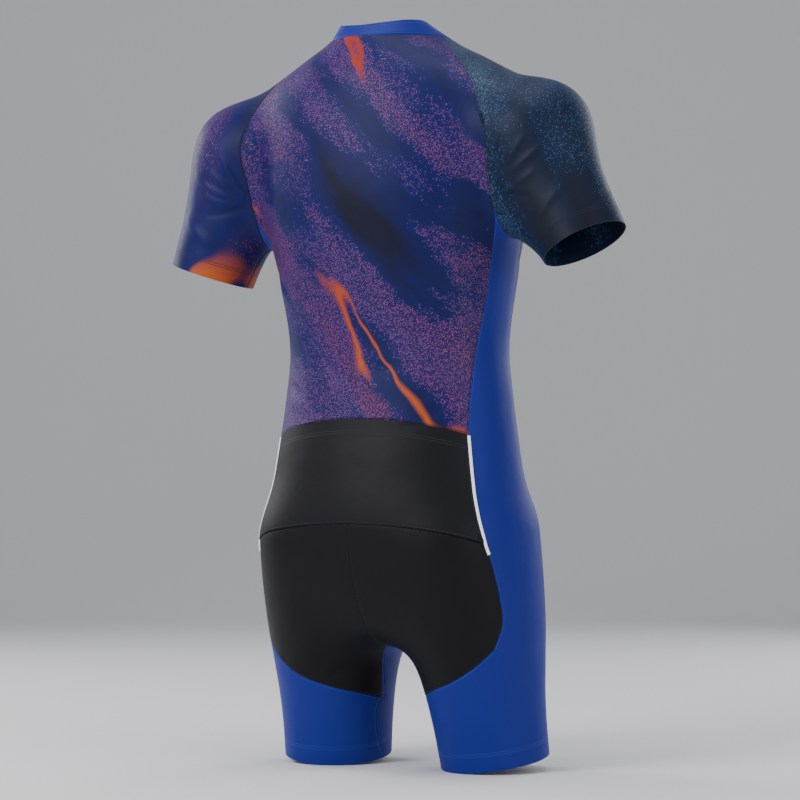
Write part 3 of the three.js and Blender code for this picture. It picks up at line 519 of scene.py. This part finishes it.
# One closed mesh from grids: points that lie together become one, the outer side stands at point + normal * (outer
# + lift) over the inner side at point + normal * (inner + lift), and a rim joins the two along the border. The lift
# is the creases', faded out beside seams and hems, less a dip deep * exp(-(d / halfWidth)^2) at distance d from a
# seam. Numbers of points round each square run anticlockwise from outside.
def shell(name, grids, outer, inner, sewn, hems, onFigure=True, relief=1.0, creaseAt=None):
    points, squares, count = [], [], 0
    for rows in grids:
        number = np.arange(rows.shape[0] * rows.shape[1]).reshape(rows.shape[:2]) + count
        square = np.stack([number[:-1, :-1], number[1:, :-1], number[1:, 1:], number[:-1, 1:]], -1).reshape(-1, 4)
        flat = rows.reshape(-1, 3)
        a, b, d = (flat[square[:, k] - count] for k in (0, 1, 3))
        facing = np.cross(b - a, d - a)
        squares.append(square if (facing * slopeOf(a)).sum() > 0 else square[:, ::-1])
        points.append(flat)
        count += len(flat)
    points, squares = np.concatenate(points), np.concatenate(squares)
    fineSquares = np.round(points * weldsPerMm + 0.137).astype(int)
    _, first, same = np.unique(fineSquares, axis=0, return_index=True, return_inverse=True)
    places = points[first] if creaseAt is None else np.concatenate([rows.reshape(-1, 3) for rows in creaseAt])[first]
    points, squares = points[first], same.reshape(-1)[squares]
    if onFigure:
        normal = unit(slopeOf(points))
    else:
        a, b, c, d = (points[squares[:, k]] for k in range(4))
        facing = np.cross(c - a, d - b)
        normal = np.zeros_like(points)
        for k in range(4):
            np.add.at(normal, squares[:, k], facing)
        normal = unit(normal)
    seamAway, seamFar = toLines(points, sewn)
    hemAway, hemFar = toLines(points, hems) if hems else (np.full(len(points), noHem), np.zeros(len(points)))
    lift = creased(places) * relief * np.clip(np.minimum(seamAway, hemAway) / seamDip["creaseClear"], 0, 1)
    lift -= seamDip["deep"] * np.exp(-(seamAway / seamDip["halfWidth"])**2)
    edges = np.concatenate([squares[:, [k, (k + 1) % 4]] for k in range(4)])
    edges = edges[edges[:, 0] != edges[:, 1]]
    key = np.sort(edges, axis=1) @ np.array((len(points), 1))
    _, back, times = np.unique(key, return_inverse=True, return_counts=True)
    border = edges[times[back] == 1]
    n = len(points)
    layers = np.concatenate([points + normal * (outer + lift)[:, None], points + normal * (inner + lift)[:, None]])
    a, b = border[:, 0], border[:, 1]
    rim = np.stack([b, a, a + n, b + n], -1)
    faces = np.concatenate([squares, squares[:, ::-1] + n, rim])
    mesh = bpy.data.meshes.new(name)
    mesh.from_pydata((layers * mm).tolist(), [], faces.tolist())
    mesh.validate()
    mesh.update()
    edgePoints = np.empty(len(mesh.edges) * 2, int)
    mesh.edges.foreach_get("vertices", edgePoints)
    edgeKey = np.sort(edgePoints.reshape(-1, 2), axis=1) @ np.array((2 * n, 1))
    rims = np.concatenate([np.sort(border, axis=1), np.sort(border + n, axis=1)])
    sharp = np.isin(edgeKey, rims @ np.array((2 * n, 1)))
    mesh.shade_smooth()
    mesh.attributes.new("sharp_edge", "BOOLEAN", "EDGE").data.foreach_set("value", sharp)
    for label, values in (("seam", seamAway), ("seamAlong", seamFar), ("hem", hemAway), ("hemAlong", hemFar)):
        mesh.attributes.new(label, "FLOAT", "POINT").data.foreach_set("value", np.tile(values, 2).astype(np.float32))
    a, b, c, d = (points[squares[:, k]] for k in range(4))
    halves = np.linalg.norm(np.cross(b - a, d - a), axis=1) + np.linalg.norm(np.cross(b - c, d - c), axis=1)
    return added(name, mesh), halves.sum() / 2 * mm * mm


clothThickness = 1.1
cloth = (0, -clothThickness)
left = {name: fineLine(line) for name, line in seams.items()}
right = {name: line * mirrored for name, line in left.items()}
backSeams = ("backNeck", "backRaglan", "backSideUpper", "pocketSide", "seatTop")
neckLine = fineLine(neckLoop, False)


# The named seams of both sides.
def pairOf(names):
    return [side[name] for side in (left, right) for name in names]


# Puts cloth on a piece: its material, its place on the suit's body, and the frame's part hidden. The flat area is
# the formed area times stretch, because the suit is worn stretched, and no more than the flat size holds.
def sew(node, made, body, material):
    obj, area = made
    obj.data.materials.append(material)
    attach(obj, body)
    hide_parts(node)


# A material with its shader and its object coordinates.
def nodesOf(name, roughness):
    material = bpy.data.materials.new(name)
    material.use_nodes = True
    tree = material.node_tree
    shader = tree.nodes["Principled BSDF"]
    shader.inputs["Roughness"].default_value = roughness
    return material, tree, shader, tree.nodes.new("ShaderNodeTexCoord").outputs["Object"]


# A node with its inputs set by name, or by number as in0, in1 and in2. A socket is linked and a value is set.
def node(tree, kind, operation=None, **values):
    made = tree.nodes.new("ShaderNode" + kind)
    if operation:
        made.operation = operation
    for key, value in values.items():
        socket = made.inputs[int(key[2:])] if key.startswith("in") else made.inputs[key.replace("_", " ")]
        if isinstance(value, bpy.types.NodeSocket):
            tree.links.new(value, socket)
        else:
            socket.default_value = value
    return made


# One sum, product or other operation on two sockets or numbers.
def reckon(tree, operation, a, b=0.0):
    return node(tree, "Math", operation, in0=a, in1=b).outputs[0]


# A socket that rises from nought to one, or to the given top, as the value goes from low to high.
def rising(tree, value, low, high, top=1.0):
    return node(tree, "MapRange", Value=value, From_Min=low, From_Max=high, To_Max=top).outputs[0]


def attribute(tree, name):
    made = tree.nodes.new("ShaderNodeAttribute")
    made.attribute_name = name
    return made.outputs["Fac"]


# Colours blended between stops, each stop a place from nought to one and its colour.
def ramp(tree, value, places):
    made = node(tree, "ValToRGB", Fac=value)
    stops = made.color_ramp.elements
    while len(stops) < len(places):
        stops.new(0.5)
    for stop, (at, colour) in zip(stops, places):
        stop.position = at
        stop.color = (*colour, 1)
    return made.outputs["Color"]


# Colour a * (1 - share) + b * share.
def mixed(tree, share, a, b):
    made = tree.nodes.new("ShaderNodeMix")
    made.data_type = "RGBA"
    for socket, value in ((made.inputs[0], share), (made.inputs[6], a), (made.inputs[7], b)):
        if isinstance(value, bpy.types.NodeSocket):
            tree.links.new(value, socket)
        else:
            socket.default_value = value if isinstance(value, float) else (*value, 1)
    return made.outputs[2]


# One where the value lies between the two edges, and nought outside, softened over the given width.
def between(tree, value, low, high, soft):
    return reckon(tree, "MULTIPLY", rising(tree, value, low - soft, low + soft),
                  rising(tree, value, high + soft, high - soft))


# Stitches in a row at a distance from a seam or hem: a band on that distance, times a band on the part of the
# length along the seam that is left after whole stitches.
stitches = {"half": 0.35, "edge": 0.12, "pitch": 2.8, "from": 0.14, "to": 0.86, "end": 0.08}


def stitchRow(tree, line, at):
    half = stitches["half"]
    row = between(tree, attribute(tree, line), at - half, at + half, stitches["edge"])
    part = reckon(tree, "FRACT", reckon(tree, "DIVIDE", attribute(tree, line + "Along"), stitches["pitch"]))
    return reckon(tree, "MULTIPLY", row, between(tree, part, stitches["from"], stitches["to"], stitches["end"]))


# Turns a height into relief, the strength's share of it, where the height's unit is the distance in metres.
def relieve(tree, shader, height, strength, distance):
    bump = node(tree, "Bump", Strength=strength, Distance=distance, Height=height)
    tree.links.new(bump.outputs["Normal"], shader.inputs["Normal"])


# Relief of knitted cloth, in millimetres: fine ribs up the cloth, puckers sin(waves * length) that die out away
# from the seams, broad unevenness, and the stitches, each times its own height.
knitted = {"ribs": 1400.0 / 6.2832, "wander": 1.5, "waves": 1.15, "puckerEnd": 7.0, "puckerFull": 0.8, "broad": 26.0}
reliefHeights = {"pucker": 0.10, "uneven": 1.1, "rows": 0.3, "knit": 0.02}


def clothRelief(tree, shader, coords, rows):
    ribs = node(tree, "TexWave", Vector=coords, Scale=knitted["ribs"], Distortion=knitted["wander"])
    wave = reckon(tree, "SINE", reckon(tree, "MULTIPLY", attribute(tree, "seamAlong"), knitted["waves"]))
    near = rising(tree, attribute(tree, "seam"), knitted["puckerEnd"], knitted["puckerFull"])
    broad = node(tree, "TexNoise", Vector=coords, Scale=knitted["broad"], Detail=3.0)
    layers = {"pucker": reckon(tree, "MULTIPLY", wave, near), "uneven": broad.outputs["Fac"], "rows": rows,
              "knit": ribs.outputs["Fac"]}
    height = 0.0
    for layer, value in layers.items():
        height = reckon(tree, "ADD", height, reckon(tree, "MULTIPLY", value, reliefHeights[layer]))
    relieve(tree, shader, height, 1.0, mm)


# Stretch jersey: a soft sheen at grazing angles over a low gloss. The thread's colour lies where any row of stitches
# does. The colour is one value, or a function that paints a print.
def jersey(name, colour, thread, sheen, seamRows=(1.9,), hemRows=(), gloss=0.2):
    material, tree, shader, coords = nodesOf(name, 0.55)
    if not isinstance(colour, tuple):
        colour = colour(tree, coords)
    rows = 0.0
    for line, at in [("seam", at) for at in seamRows] + [("hem", at) for at in hemRows]:
        rows = reckon(tree, "MAXIMUM", rows, stitchRow(tree, line, at))
    tree.links.new(mixed(tree, rows, colour, thread), shader.inputs["Base Color"])
    shader.inputs["Specular IOR Level"].default_value = gloss
    shader.inputs["Sheen Weight"].default_value = sheen[0]
    shader.inputs["Sheen Roughness"].default_value = 0.4
    shader.inputs["Sheen Tint"].default_value = (*sheen[1], 1)
    clothRelief(tree, shader, coords, rows)
    return material


# Places drawn out along a direction: the coordinates turned about the front-to-back axis, and then scaled.
def drawnOut(tree, coords, degrees, offset, scale):
    turned = node(tree, "Mapping", Vector=coords, Location=offset, Rotation=(0.0, math.radians(degrees), 0.0))
    return node(tree, "Mapping", Vector=turned.outputs[0], Scale=scale).outputs[0]


# Marbled print: a ground of several navies, bands of fine dots, and a few warm streaks. The coordinates are bent
# by low noise and drawn out along the print's direction. A cell has its dot where its own chance lies below the
# band's density, and a streak runs where a noise is near its middle and a broader noise lets it.
dots = {"perMetre": 620.0, "edge": 0.46, "full": 0.3}


def marbled(look):
    def paint(tree, coords):
        bend = node(tree, "TexNoise", Vector=coords, Scale=4.0, Detail=4.0).outputs["Color"]
        bent = node(tree, "VectorMath", "MULTIPLY_ADD", in0=bend, in1=(0.10, 0.10, 0.10), in2=coords).outputs[0]
        place = drawnOut(tree, bent, look["turn"], look["offset"], look["scale"])
        bands = node(tree, "TexNoise", Vector=place, Scale=1.0, Detail=5.0, Roughness=0.55).outputs["Fac"]
        hue = node(tree, "TexNoise", Vector=place, Scale=0.7, Detail=1.0).outputs["Fac"]
        ground = ramp(tree, bands, list(zip((0.32, 0.48, 0.64), look["ground"])))
        density = rising(tree, bands, *look["dense"], top=0.95)
        cells = node(tree, "TexVoronoi", Vector=coords, Scale=dots["perMetre"])
        chance = node(tree, "SeparateColor", Color=cells.outputs["Color"]).outputs[0]
        there = rising(tree, reckon(tree, "SUBTRACT", density, chance), 0.0, 0.1)
        disc = rising(tree, cells.outputs["Distance"], dots["edge"], dots["full"])
        tint = ramp(tree, hue, list(zip((0.38, 0.5, 0.62), look["dots"])))
        colour = mixed(tree, reckon(tree, "MULTIPLY", there, disc), ground, tint)
        far = drawnOut(tree, bent, look["turn"] + look["cross"], look["offset"][::-1], look["streaks"])
        vein = node(tree, "TexNoise", Vector=far, Scale=1.0, Detail=2.0, Distortion=0.3).outputs["Fac"]
        ridge = reckon(tree, "ABSOLUTE", reckon(tree, "SUBTRACT", vein, 0.5))
        where = node(tree, "TexNoise", Vector=drawnOut(tree, coords, look["turn"], look["offset"], (3.0, 3.0, 7.0)),
                     Scale=1.0, Detail=1.0).outputs["Fac"]
        allowed = rising(tree, where, look["warmth"], look["warmth"] + 0.07)
        width = reckon(tree, "MULTIPLY", allowed, look["wide"])
        streak = rising(tree, reckon(tree, "SUBTRACT", width, ridge), -0.006, 0.012)
        streak = reckon(tree, "MULTIPLY", streak, allowed)
        heat = ramp(tree, hue, [(0.4, (0.30, 0.022, 0.012)), (0.56, (0.42, 0.075, 0.012))])
        return mixed(tree, streak, colour, heat)
    return paint


blueSheen = (0.10, (0.25, 0.4, 1.0))
darkSheen = (0.03, (0.5, 0.5, 0.75))
navy = ((0.0030, 0.0036, 0.020), (0.0028, 0.0060, 0.085), (0.026, 0.010, 0.085))
rose = ((0.25, 0.07, 0.19), (0.17, 0.065, 0.24), (0.34, 0.05, 0.10))
slate = ((0.0040, 0.006, 0.014), (0.004, 0.012, 0.040), (0.006, 0.022, 0.055))
frost = ((0.05, 0.12, 0.22), (0.08, 0.15, 0.26), (0.04, 0.09, 0.24))
prints = {
    "back": {"turn": 50, "cross": 10, "offset": (0.35, 0.10, 0.72), "scale": (2.6, 3.0, 11.0), "dense": (0.45, 0.53),
             "dots": rose, "ground": navy, "streaks": (2.2, 3.0, 12.0), "warmth": 0.50, "wide": 0.015},
    "front": {"turn": -48, "cross": -12, "offset": (1.30, 0.40, 0.20), "scale": (2.6, 3.0, 11.0),
              "dense": (0.45, 0.53), "dots": rose, "ground": navy, "streaks": (2.2, 3.0, 12.0), "warmth": 0.50,
              "wide": 0.015},
    "leftSleeve": {"turn": -70, "cross": 8, "offset": (2.10, 0.80, 1.63), "scale": (3.0, 4.0, 9.0),
                   "dense": (0.52, 0.66), "dots": rose, "ground": navy, "streaks": (3.0, 4.0, 8.0), "warmth": 0.50,
                   "wide": 0.05},
    "rightSleeve": {"turn": 64, "cross": 14, "offset": (0.90, 2.20, 0.40), "scale": (3.0, 4.0, 9.0),
                    "dense": (0.41, 0.64), "dots": frost, "ground": slate, "streaks": (3.0, 4.0, 14.0),
                    "warmth": 0.66, "wide": 0.012},
}
navyThread = (0.012, 0.012, 0.035)
royalBlue, blueThread = (0.002, 0.012, 0.21), (0.022, 0.055, 0.34)
blueCloth = jersey("blueJersey", royalBlue, blueThread, blueSheen, hemRows=(20.0, 23.0), gloss=0.25)
collarCloth = jersey("collarJersey", royalBlue, blueThread, blueSheen, hemRows=(4.5,), gloss=0.25)
seatCloth = jersey("seatJersey", (0.0022, 0.0022, 0.0030), (0.010, 0.010, 0.012), darkSheen)
pocketCloth = jersey("pocketKnit", (0.0048, 0.0048, 0.0075), (0.03, 0.03, 0.037), darkSheen, hemRows=(14.0, 17.0))
backCloth = jersey("backPrint", marbled(prints["back"]), navyThread, darkSheen)
frontCloth = jersey("frontPrint", marbled(prints["front"]), navyThread, darkSheen)
leftSleeveCloth = jersey("leftSleevePrint", marbled(prints["leftSleeve"]), navyThread, darkSheen,
                         hemRows=(18.0, 21.0))
rightSleeveCloth = jersey("rightSleevePrint", marbled(prints["rightSleeve"]), navyThread, darkSheen,
                          hemRows=(18.0, 21.0))
print("materials made")

backMade = shell("backPanel", [backUpper, backLower], *cloth,
                 pairOf(backSeams) + [left["pocketTop"], right["pocketTop"]], [])
sew("back_panel", backMade, "suit", backCloth)

seatMade = shell("seatPanel", [seatHalf, seatHalf * mirrored], *cloth,
                 pairOf(("seatTop", "seatSide", "seatHem", "inseamUpper")) + [left["backMiddle"]], [])
sew("seat_panel", seatMade, "suit", seatCloth)

# The side and leg are one piece from the underarm to the hem, sewn to itself up the inside of the leg.
sideSeams = ("frontArmhole", "backArmhole", "frontSide", "backSideUpper", "frontHem", "frontMiddle", "pocketSide",
             "seatSide", "inseamUpper", "seatHem")
frontSeams = ("frontNeck", "frontRaglan", "frontSide", "frontHem", "zipEdge", "frontSeam")
for word, flip, lines in (("left", 1, left), ("right", -1, right)):
    turn = np.array((flip, 1, 1))
    inseam = fineLine(legBelow[::each, 0]) * turn
    made = shell(word + "SideLeg", [sideUpper * turn, sideMiddle * turn, legBelow * turn], *cloth,
                 [lines[name] for name in sideSeams] + [inseam], [legBelow[-1] * turn])
    sew("side_leg_" + word, made, "suit", blueCloth)
    rows = (sleeve if flip > 0 else raisedSleeve) * turn
    made = shell(word + "Sleeve", [rows], *cloth, [fineLine(sleeveTop) * turn, rows[:, 0]], [rows[-1]],
                 onFigure=flip > 0, relief=1.6, creaseAt=[sleeve * turn])
    sew("sleeve_" + word, made, "suit",
        leftSleeveCloth if flip > 0 else rightSleeveCloth)
    made = shell(word + "Front", [front * turn], *cloth, [lines[name] for name in frontSeams], [])
    sew("front_" + word, made, "suit", frontCloth)

collarMade = shell("collarBand", [collarRows], *cloth, [neckLine], [collarRows[-1]], onFigure=False, relief=0.0)
sew("collar", collarMade, "suit", collarCloth)

# The pocket lies on the back, drawn in beside the piping, and its top edge stands a little open.
pocket = {"lift": 0.35, "drawnIn": 2.2, "from": 0.9}
pocketRows = backLower.copy()
acrossPocket = np.linspace(-1, 1, pocketRows.shape[1])
shiftIn = pocket["drawnIn"] * np.clip((np.abs(acrossPocket) - pocket["from"]) / (1 - pocket["from"]), 0, 1)**2
for side, edge, inner in ((-1, 0, 1), (1, -1, -2)):
    inward = unit(pocketRows[:, inner] - pocketRows[:, edge])
    pocketRows += inward[:, None] * np.where(acrossPocket * side > 0, shiftIn, 0)[:, None]
pocketSides = [fineLine(pocketRows[::each, 0]), fineLine(pocketRows[::each, -1]), fineLine(pocketRows[-1, ::each])]
pocketMade = shell("pocketBand", [pocketRows], pocket["lift"] + clothThickness, pocket["lift"], pocketSides,
                   [fineLine(pocketRows[0, ::each])])
sew("pocket_panel", pocketMade, "suit", pocketCloth)
print("cloth made")


# Piping: a half round strip along the side seam beside the pocket, swept on the figure's slope.
# Its section is (width / 2 * cos a, foot + (height - foot) * sin a) for a from 0 to 180 degrees, closed underneath.
piping = {"width": 4.0, "height": 1.7, "foot": 0.3, "steps": 160}
pipingLine = np.concatenate([seams["pocketSide"], seams["seatSide"][1:2]])
pipingLine = cubicWeights(len(pipingLine), np.linspace(0.04, len(pipingLine) - 1.04, piping["steps"])) @ pipingLine
pipingLine = settle(pipingLine, 3)


def pipe(name, line, flip):
    out = unit(slopeOf(line))
    run = unit(np.gradient(line, axis=0))
    side = np.cross(run, out)
    a = np.linspace(0, np.pi, 13)
    section = np.stack([piping["width"] / 2 * np.cos(a),
                        piping["foot"] + (piping["height"] - piping["foot"]) * np.sin(a)], -1)
    rows = line[:, None] + side[:, None] * section[:, :1] + out[:, None] * section[:, 1:]
    rows[:, :, 0] *= flip
    m, n = rows.shape[:2]
    number = np.arange(m * n).reshape(m, n)
    ring = np.concatenate([number, number[:, :1]], axis=1)
    squares = np.stack([ring[:-1, :-1], ring[:-1, 1:], ring[1:, 1:], ring[1:, :-1]], -1).reshape(-1, 4)
    faces = squares.tolist() + [number[0, ::-1].tolist(), number[-1].tolist()]
    mesh = bpy.data.meshes.new(name)
    mesh.from_pydata((rows.reshape(-1, 3) * mm).tolist(), [], faces)
    outside = np.cross(rows[1:, 6] - rows[:-1, 6], rows[:-1, 7] - rows[:-1, 6])
    if (outside * out[:-1] * (flip, 1, 1)).sum() > 0:
        mesh.flip_normals()
    mesh.update()
    smooth = np.ones(len(mesh.polygons), bool)
    smooth[-2:] = False
    mesh.polygons.foreach_set("use_smooth", smooth)
    return added(name, mesh)


reflective, tree, shader, coords = nodesOf("reflectiveStrip", 0.3)
shader.inputs["Base Color"].default_value = (0.82, 0.84, 0.86, 1)
# The emission is painted light: a glow that stands in for the strip's bright reflection of the lamps, though the
# strip is no lamp.
shader.inputs["Emission Color"].default_value = (0.9, 0.93, 1.0, 1)
shader.inputs["Emission Strength"].default_value = 0.35
beads = node(tree, "TexVoronoi", Vector=coords, Scale=1600.0).outputs["Distance"]
relieve(tree, shader, beads, 0.4, 0.0002)
for word, flip in (("left", 1), ("right", -1)):
    strip = pipe(word + "Piping", pipingLine, flip)
    strip.data.materials.append(reflective)
    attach(strip, "suit")
    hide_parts("piping_" + word)
print("piping made")


# Zip: a woven tape from the collar's top to the end of the opening, with two rows of moulded teeth.
zipCut = {"half": 4.5, "out": 0.2, "in": -1.4, "steps": 360, "ridge": 0.25, "ridgeAt": 2.4, "ridgeWidth": 0.5}
zipLine = np.concatenate([collarRows[::-1, 0][:-1], fineLine(seams["zipEdge"])])
zipFar = np.concatenate([[0], np.cumsum(np.linalg.norm(np.diff(zipLine, axis=0), axis=1))])
zipLength = zipFar[-1]
evenFar = np.linspace(0, zipLength, zipCut["steps"])
zipLine = np.stack([np.interp(evenFar, zipFar, zipLine[:, k]) for k in range(3)], -1)
zipRun = unit(np.gradient(zipLine, axis=0) * (0, 1, 1))
zipOut = np.cross(zipRun, (1.0, 0, 0))
zipOut *= np.sign((zipOut * (0, -1, 0)).sum(1))[:, None]
tapeAcross = np.linspace(-zipCut["half"], zipCut["half"], 19)
ridge = zipCut["ridge"] * np.exp(-((np.abs(tapeAcross) - zipCut["ridgeAt"]) / zipCut["ridgeWidth"])**2)
tapeRows = np.zeros((len(zipLine), 2 * len(tapeAcross), 3))
section = np.concatenate([tapeAcross, tapeAcross[::-1]])
height = np.concatenate([zipCut["out"] + ridge, np.full(len(tapeAcross), zipCut["in"])])
tapeRows[..., 0] = section
tapeRows[..., 1:] = zipLine[:, None, 1:] + zipOut[:, None, 1:] * height[:, None]


# A closed tube through rings of points, turned outwards by its volume. The second half of each ring runs back
# opposite the first, so that square faces close the two ends.
def tube(name, rows, material):
    m, n = rows.shape[:2]
    number = np.arange(m * n).reshape(m, n)
    ring = np.concatenate([number, number[:, :1]], axis=1)
    squares = np.stack([ring[:-1, :-1], ring[1:, :-1], ring[1:, 1:], ring[:-1, 1:]], -1).reshape(-1, 4)
    half = n // 2
    caps = np.stack([number[[0, -1]][:, :half - 1], number[[0, -1]][:, 1:half], number[[0, -1]][:, ::-1][:, 1:half],
                     number[[0, -1]][:, ::-1][:, :half - 1]], -1)
    faces = np.concatenate([squares, caps[0], caps[1][:, ::-1]])
    mesh = bpy.data.meshes.new(name)
    mesh.from_pydata((rows.reshape(-1, 3) * mm).tolist(), [], faces.tolist())
    mesh.update()
    corner = np.empty(len(mesh.vertices) * 3)
    mesh.vertices.foreach_get("co", corner)
    corner = corner.reshape(-1, 3)
    if signedVolume(corner, faces) < 0:
        mesh.flip_normals()
    mesh.shade_smooth()
    made = added(name, mesh)
    made.data.materials.append(material)
    return made


# Volume inside closed square faces: the sum of a . (b x c) / 6 over their triangles.
def signedVolume(corner, faces):
    a, b, c, d = (corner[faces[:, k]] for k in range(4))
    return ((a * np.cross(b, c)).sum() + (a * np.cross(c, d)).sum()) / 6


tapeMaterial, tree, shader, coords = nodesOf("zipTapeWeave", 0.7)
shader.inputs["Base Color"].default_value = (0.008, 0.009, 0.016, 1)
weave = node(tree, "TexWave", Vector=coords, Scale=220.0).outputs["Fac"]
relieve(tree, shader, weave, 0.5, 0.0001)
tape = tube("zipTape", tapeRows, tapeMaterial)

# Teeth: blocks along the tape's middle, aside to the left and the right in turn, sunk into the tape a little and
# narrower at their tops.
tooth = {"pitch": 1.5, "wide": 2.1, "long": 0.9, "high": 0.8, "aside": 0.55, "sunk": 0.1, "top": 0.7,
         "first": 6.0, "last": 4}
toothFar = np.arange(tooth["first"], zipLength - tooth["last"], tooth["pitch"])
toothSide = np.where(np.arange(len(toothFar)) % 2 == 0, 1.0, -1.0)
centre = np.stack([np.interp(toothFar, evenFar, zipLine[:, k]) for k in range(3)], -1) * (0, 1, 1)
centreRun = np.stack([np.interp(toothFar, evenFar, zipRun[:, k]) for k in range(3)], -1)
centreOut = np.stack([np.interp(toothFar, evenFar, zipOut[:, k]) for k in range(3)], -1)
corners = np.array([(x, y, z) for z in (0, 1) for y in (-0.5, 0.5) for x in (-0.5, 0.5)])
narrow = np.where(corners[:, 2] > 0, tooth["top"], 1.0)
blocks = (centre[:, None] + (toothSide * tooth["aside"])[:, None, None] * (1.0, 0, 0)
          + (corners[:, 0] * tooth["wide"])[None, :, None] * (1.0, 0, 0)
          + centreRun[:, None] * (corners[:, 1] * tooth["long"] * narrow)[None, :, None]
          + centreOut[:, None] * (zipCut["out"] - tooth["sunk"] + corners[:, 2] * tooth["high"])[None, :, None])
blockFaces = np.array([(0, 2, 3, 1), (4, 5, 7, 6), (0, 1, 5, 4), (2, 6, 7, 3), (0, 4, 6, 2), (1, 3, 7, 5)])
faces = (blockFaces[None] + 8 * np.arange(len(centre))[:, None, None]).reshape(-1, 4)
corner = blocks.reshape(-1, 3) * mm
if signedVolume(corner, faces) < 0:
    faces = faces[:, ::-1]
mesh = bpy.data.meshes.new("zipTeeth")
mesh.from_pydata(corner.tolist(), [], faces.tolist())
mesh.update()
teeth = added("zipTeeth", mesh)
toothMaterial, tree, shader, coords = nodesOf("mouldedTeeth", 0.4)
shade = node(tree, "TexNoise", Vector=coords, Scale=300.0).outputs["Fac"]
toothColour = ramp(tree, shade, [(0.3, (0.02, 0.021, 0.027)), (0.7, (0.035, 0.036, 0.045))])
tree.links.new(toothColour, shader.inputs["Base Color"])
teeth.data.materials.append(toothMaterial)
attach(teeth, "suit")
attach(tape, "suit")
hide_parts("zip_tape")

# The slider and the pull keep the frame's solids, with satin metal on them and their edges softened.
metal, tree, shader, coords = nodesOf("satinMetal", 0.32)
shader.inputs["Metallic"].default_value = 1.0
wear = node(tree, "TexNoise", Vector=coords, Scale=900.0, Detail=3.0).outputs["Fac"]
metalColour = ramp(tree, wear, [(0.3, (0.30, 0.31, 0.33)), (0.7, (0.42, 0.43, 0.45))])
tree.links.new(metalColour, shader.inputs["Base Color"])
edge = tree.nodes.new("ShaderNodeBevel")
edge.inputs["Radius"].default_value = 0.00025
tree.links.new(edge.outputs["Normal"], shader.inputs["Normal"])
for nodeName in ("zip_slider", "zip_pull"):
    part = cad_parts[nodeName]
    part.data.materials.clear()
    part.data.materials.append(metal)
print("zip made")

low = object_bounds()[0][2]
viewTurn = math.radians(30)
toCamera = np.array((-math.sin(viewTurn), math.cos(viewTurn), 0.0))   # behind and to the right
imageRight = np.array((-math.cos(viewTurn), -math.sin(viewTurn), 0.0))
upward = np.array((0, 0, 1.0))


# A pale floor that curves up at the back: a strip swept along a quarter circle.
def sweepFloor():
    radius, reach, wide, forward, high = 1.6, 3.2, 30.0, 20.0, 12.0
    backward, sideways = -toCamera, -imageRight                # away from the camera, and across the view
    turn = np.linspace(0, math.pi / 2, 33)
    behind = np.concatenate([[-forward, reach], reach + np.sin(turn[1:]) * radius, [reach + radius]])
    up = np.concatenate([[0.0, 0.0], radius - np.cos(turn[1:]) * radius, [high]])
    base = backward * behind[:, None] + upward * up[:, None]
    rows = base[:, None] + sideways * np.array((-wide / 2, wide / 2))[:, None]
    rows[..., 2] += low - 0.0003
    number = np.arange(len(rows) * 2).reshape(-1, 2)
    faces = np.stack([number[:-1, 0], number[:-1, 1], number[1:, 1], number[1:, 0]], -1)
    mesh = bpy.data.meshes.new("floor")
    mesh.from_pydata(rows.reshape(-1, 3).tolist(), [], faces.tolist())
    mesh.update()
    mesh.shade_smooth()
    return added("floor", mesh)


# Turns a lamp or the camera to face along a direction, with its own top towards the sky.
def faceAlong(made, direction):
    made.rotation_mode = "QUATERNION"
    made.rotation_quaternion = Vector(direction).to_track_quat("-Z", "Y")


floor = sweepFloor()
floorMaterial, tree, shader, coords = nodesOf("paleFloor", 0.85)
shader.inputs["Base Color"].default_value = (0.78, 0.78, 0.79, 1)
floor.data.materials.append(floorMaterial)

middle = np.array((0.0, 0.0, -0.44))
lamps = {
    "name":  ["key", "fill", "top", "rim", "frontSoft"],
    # towards the camera, to its right, and up
    "place": [(1.5, -1.7, 1.1), (1.9, 1.9, 0.5), (0.3, 0.0, 2.3), (-1.6, -1.9, 0.9), (-2.0, 1.7, 0.8)],
    "size":  [1.1, 1.6, 1.6, 0.9, 1.4],
    "power": [46, 22, 30, 26, 22],
}
for name, place, size, power in zip(*lamps.values()):
    lamp = added(name, bpy.data.lights.new(name, "AREA"))
    lamp.data.size = size
    lamp.data.energy = power
    at = middle + toCamera * place[0] + imageRight * place[1] + upward * place[2]
    lamp.location = at
    faceAlong(lamp, middle - at)

world = bpy.data.worlds.new("studio")
world.use_nodes = True
world.node_tree.nodes["Background"].inputs["Color"].default_value = (0.9, 0.93, 1.0, 1)
world.node_tree.nodes["Background"].inputs["Strength"].default_value = 0.35
bpy.context.scene.world = world

camera = added("camera", bpy.data.cameras.new("camera"))
camera.data.sensor_width = 36
camera.data.lens = 123.6
camera.location = toCamera * 3.4 - upward * 0.524
tilt = math.radians(1.46)
faceAlong(camera, -toCamera * math.cos(tilt) + upward * math.sin(tilt))
bpy.context.scene.camera = camera
print("studio made")
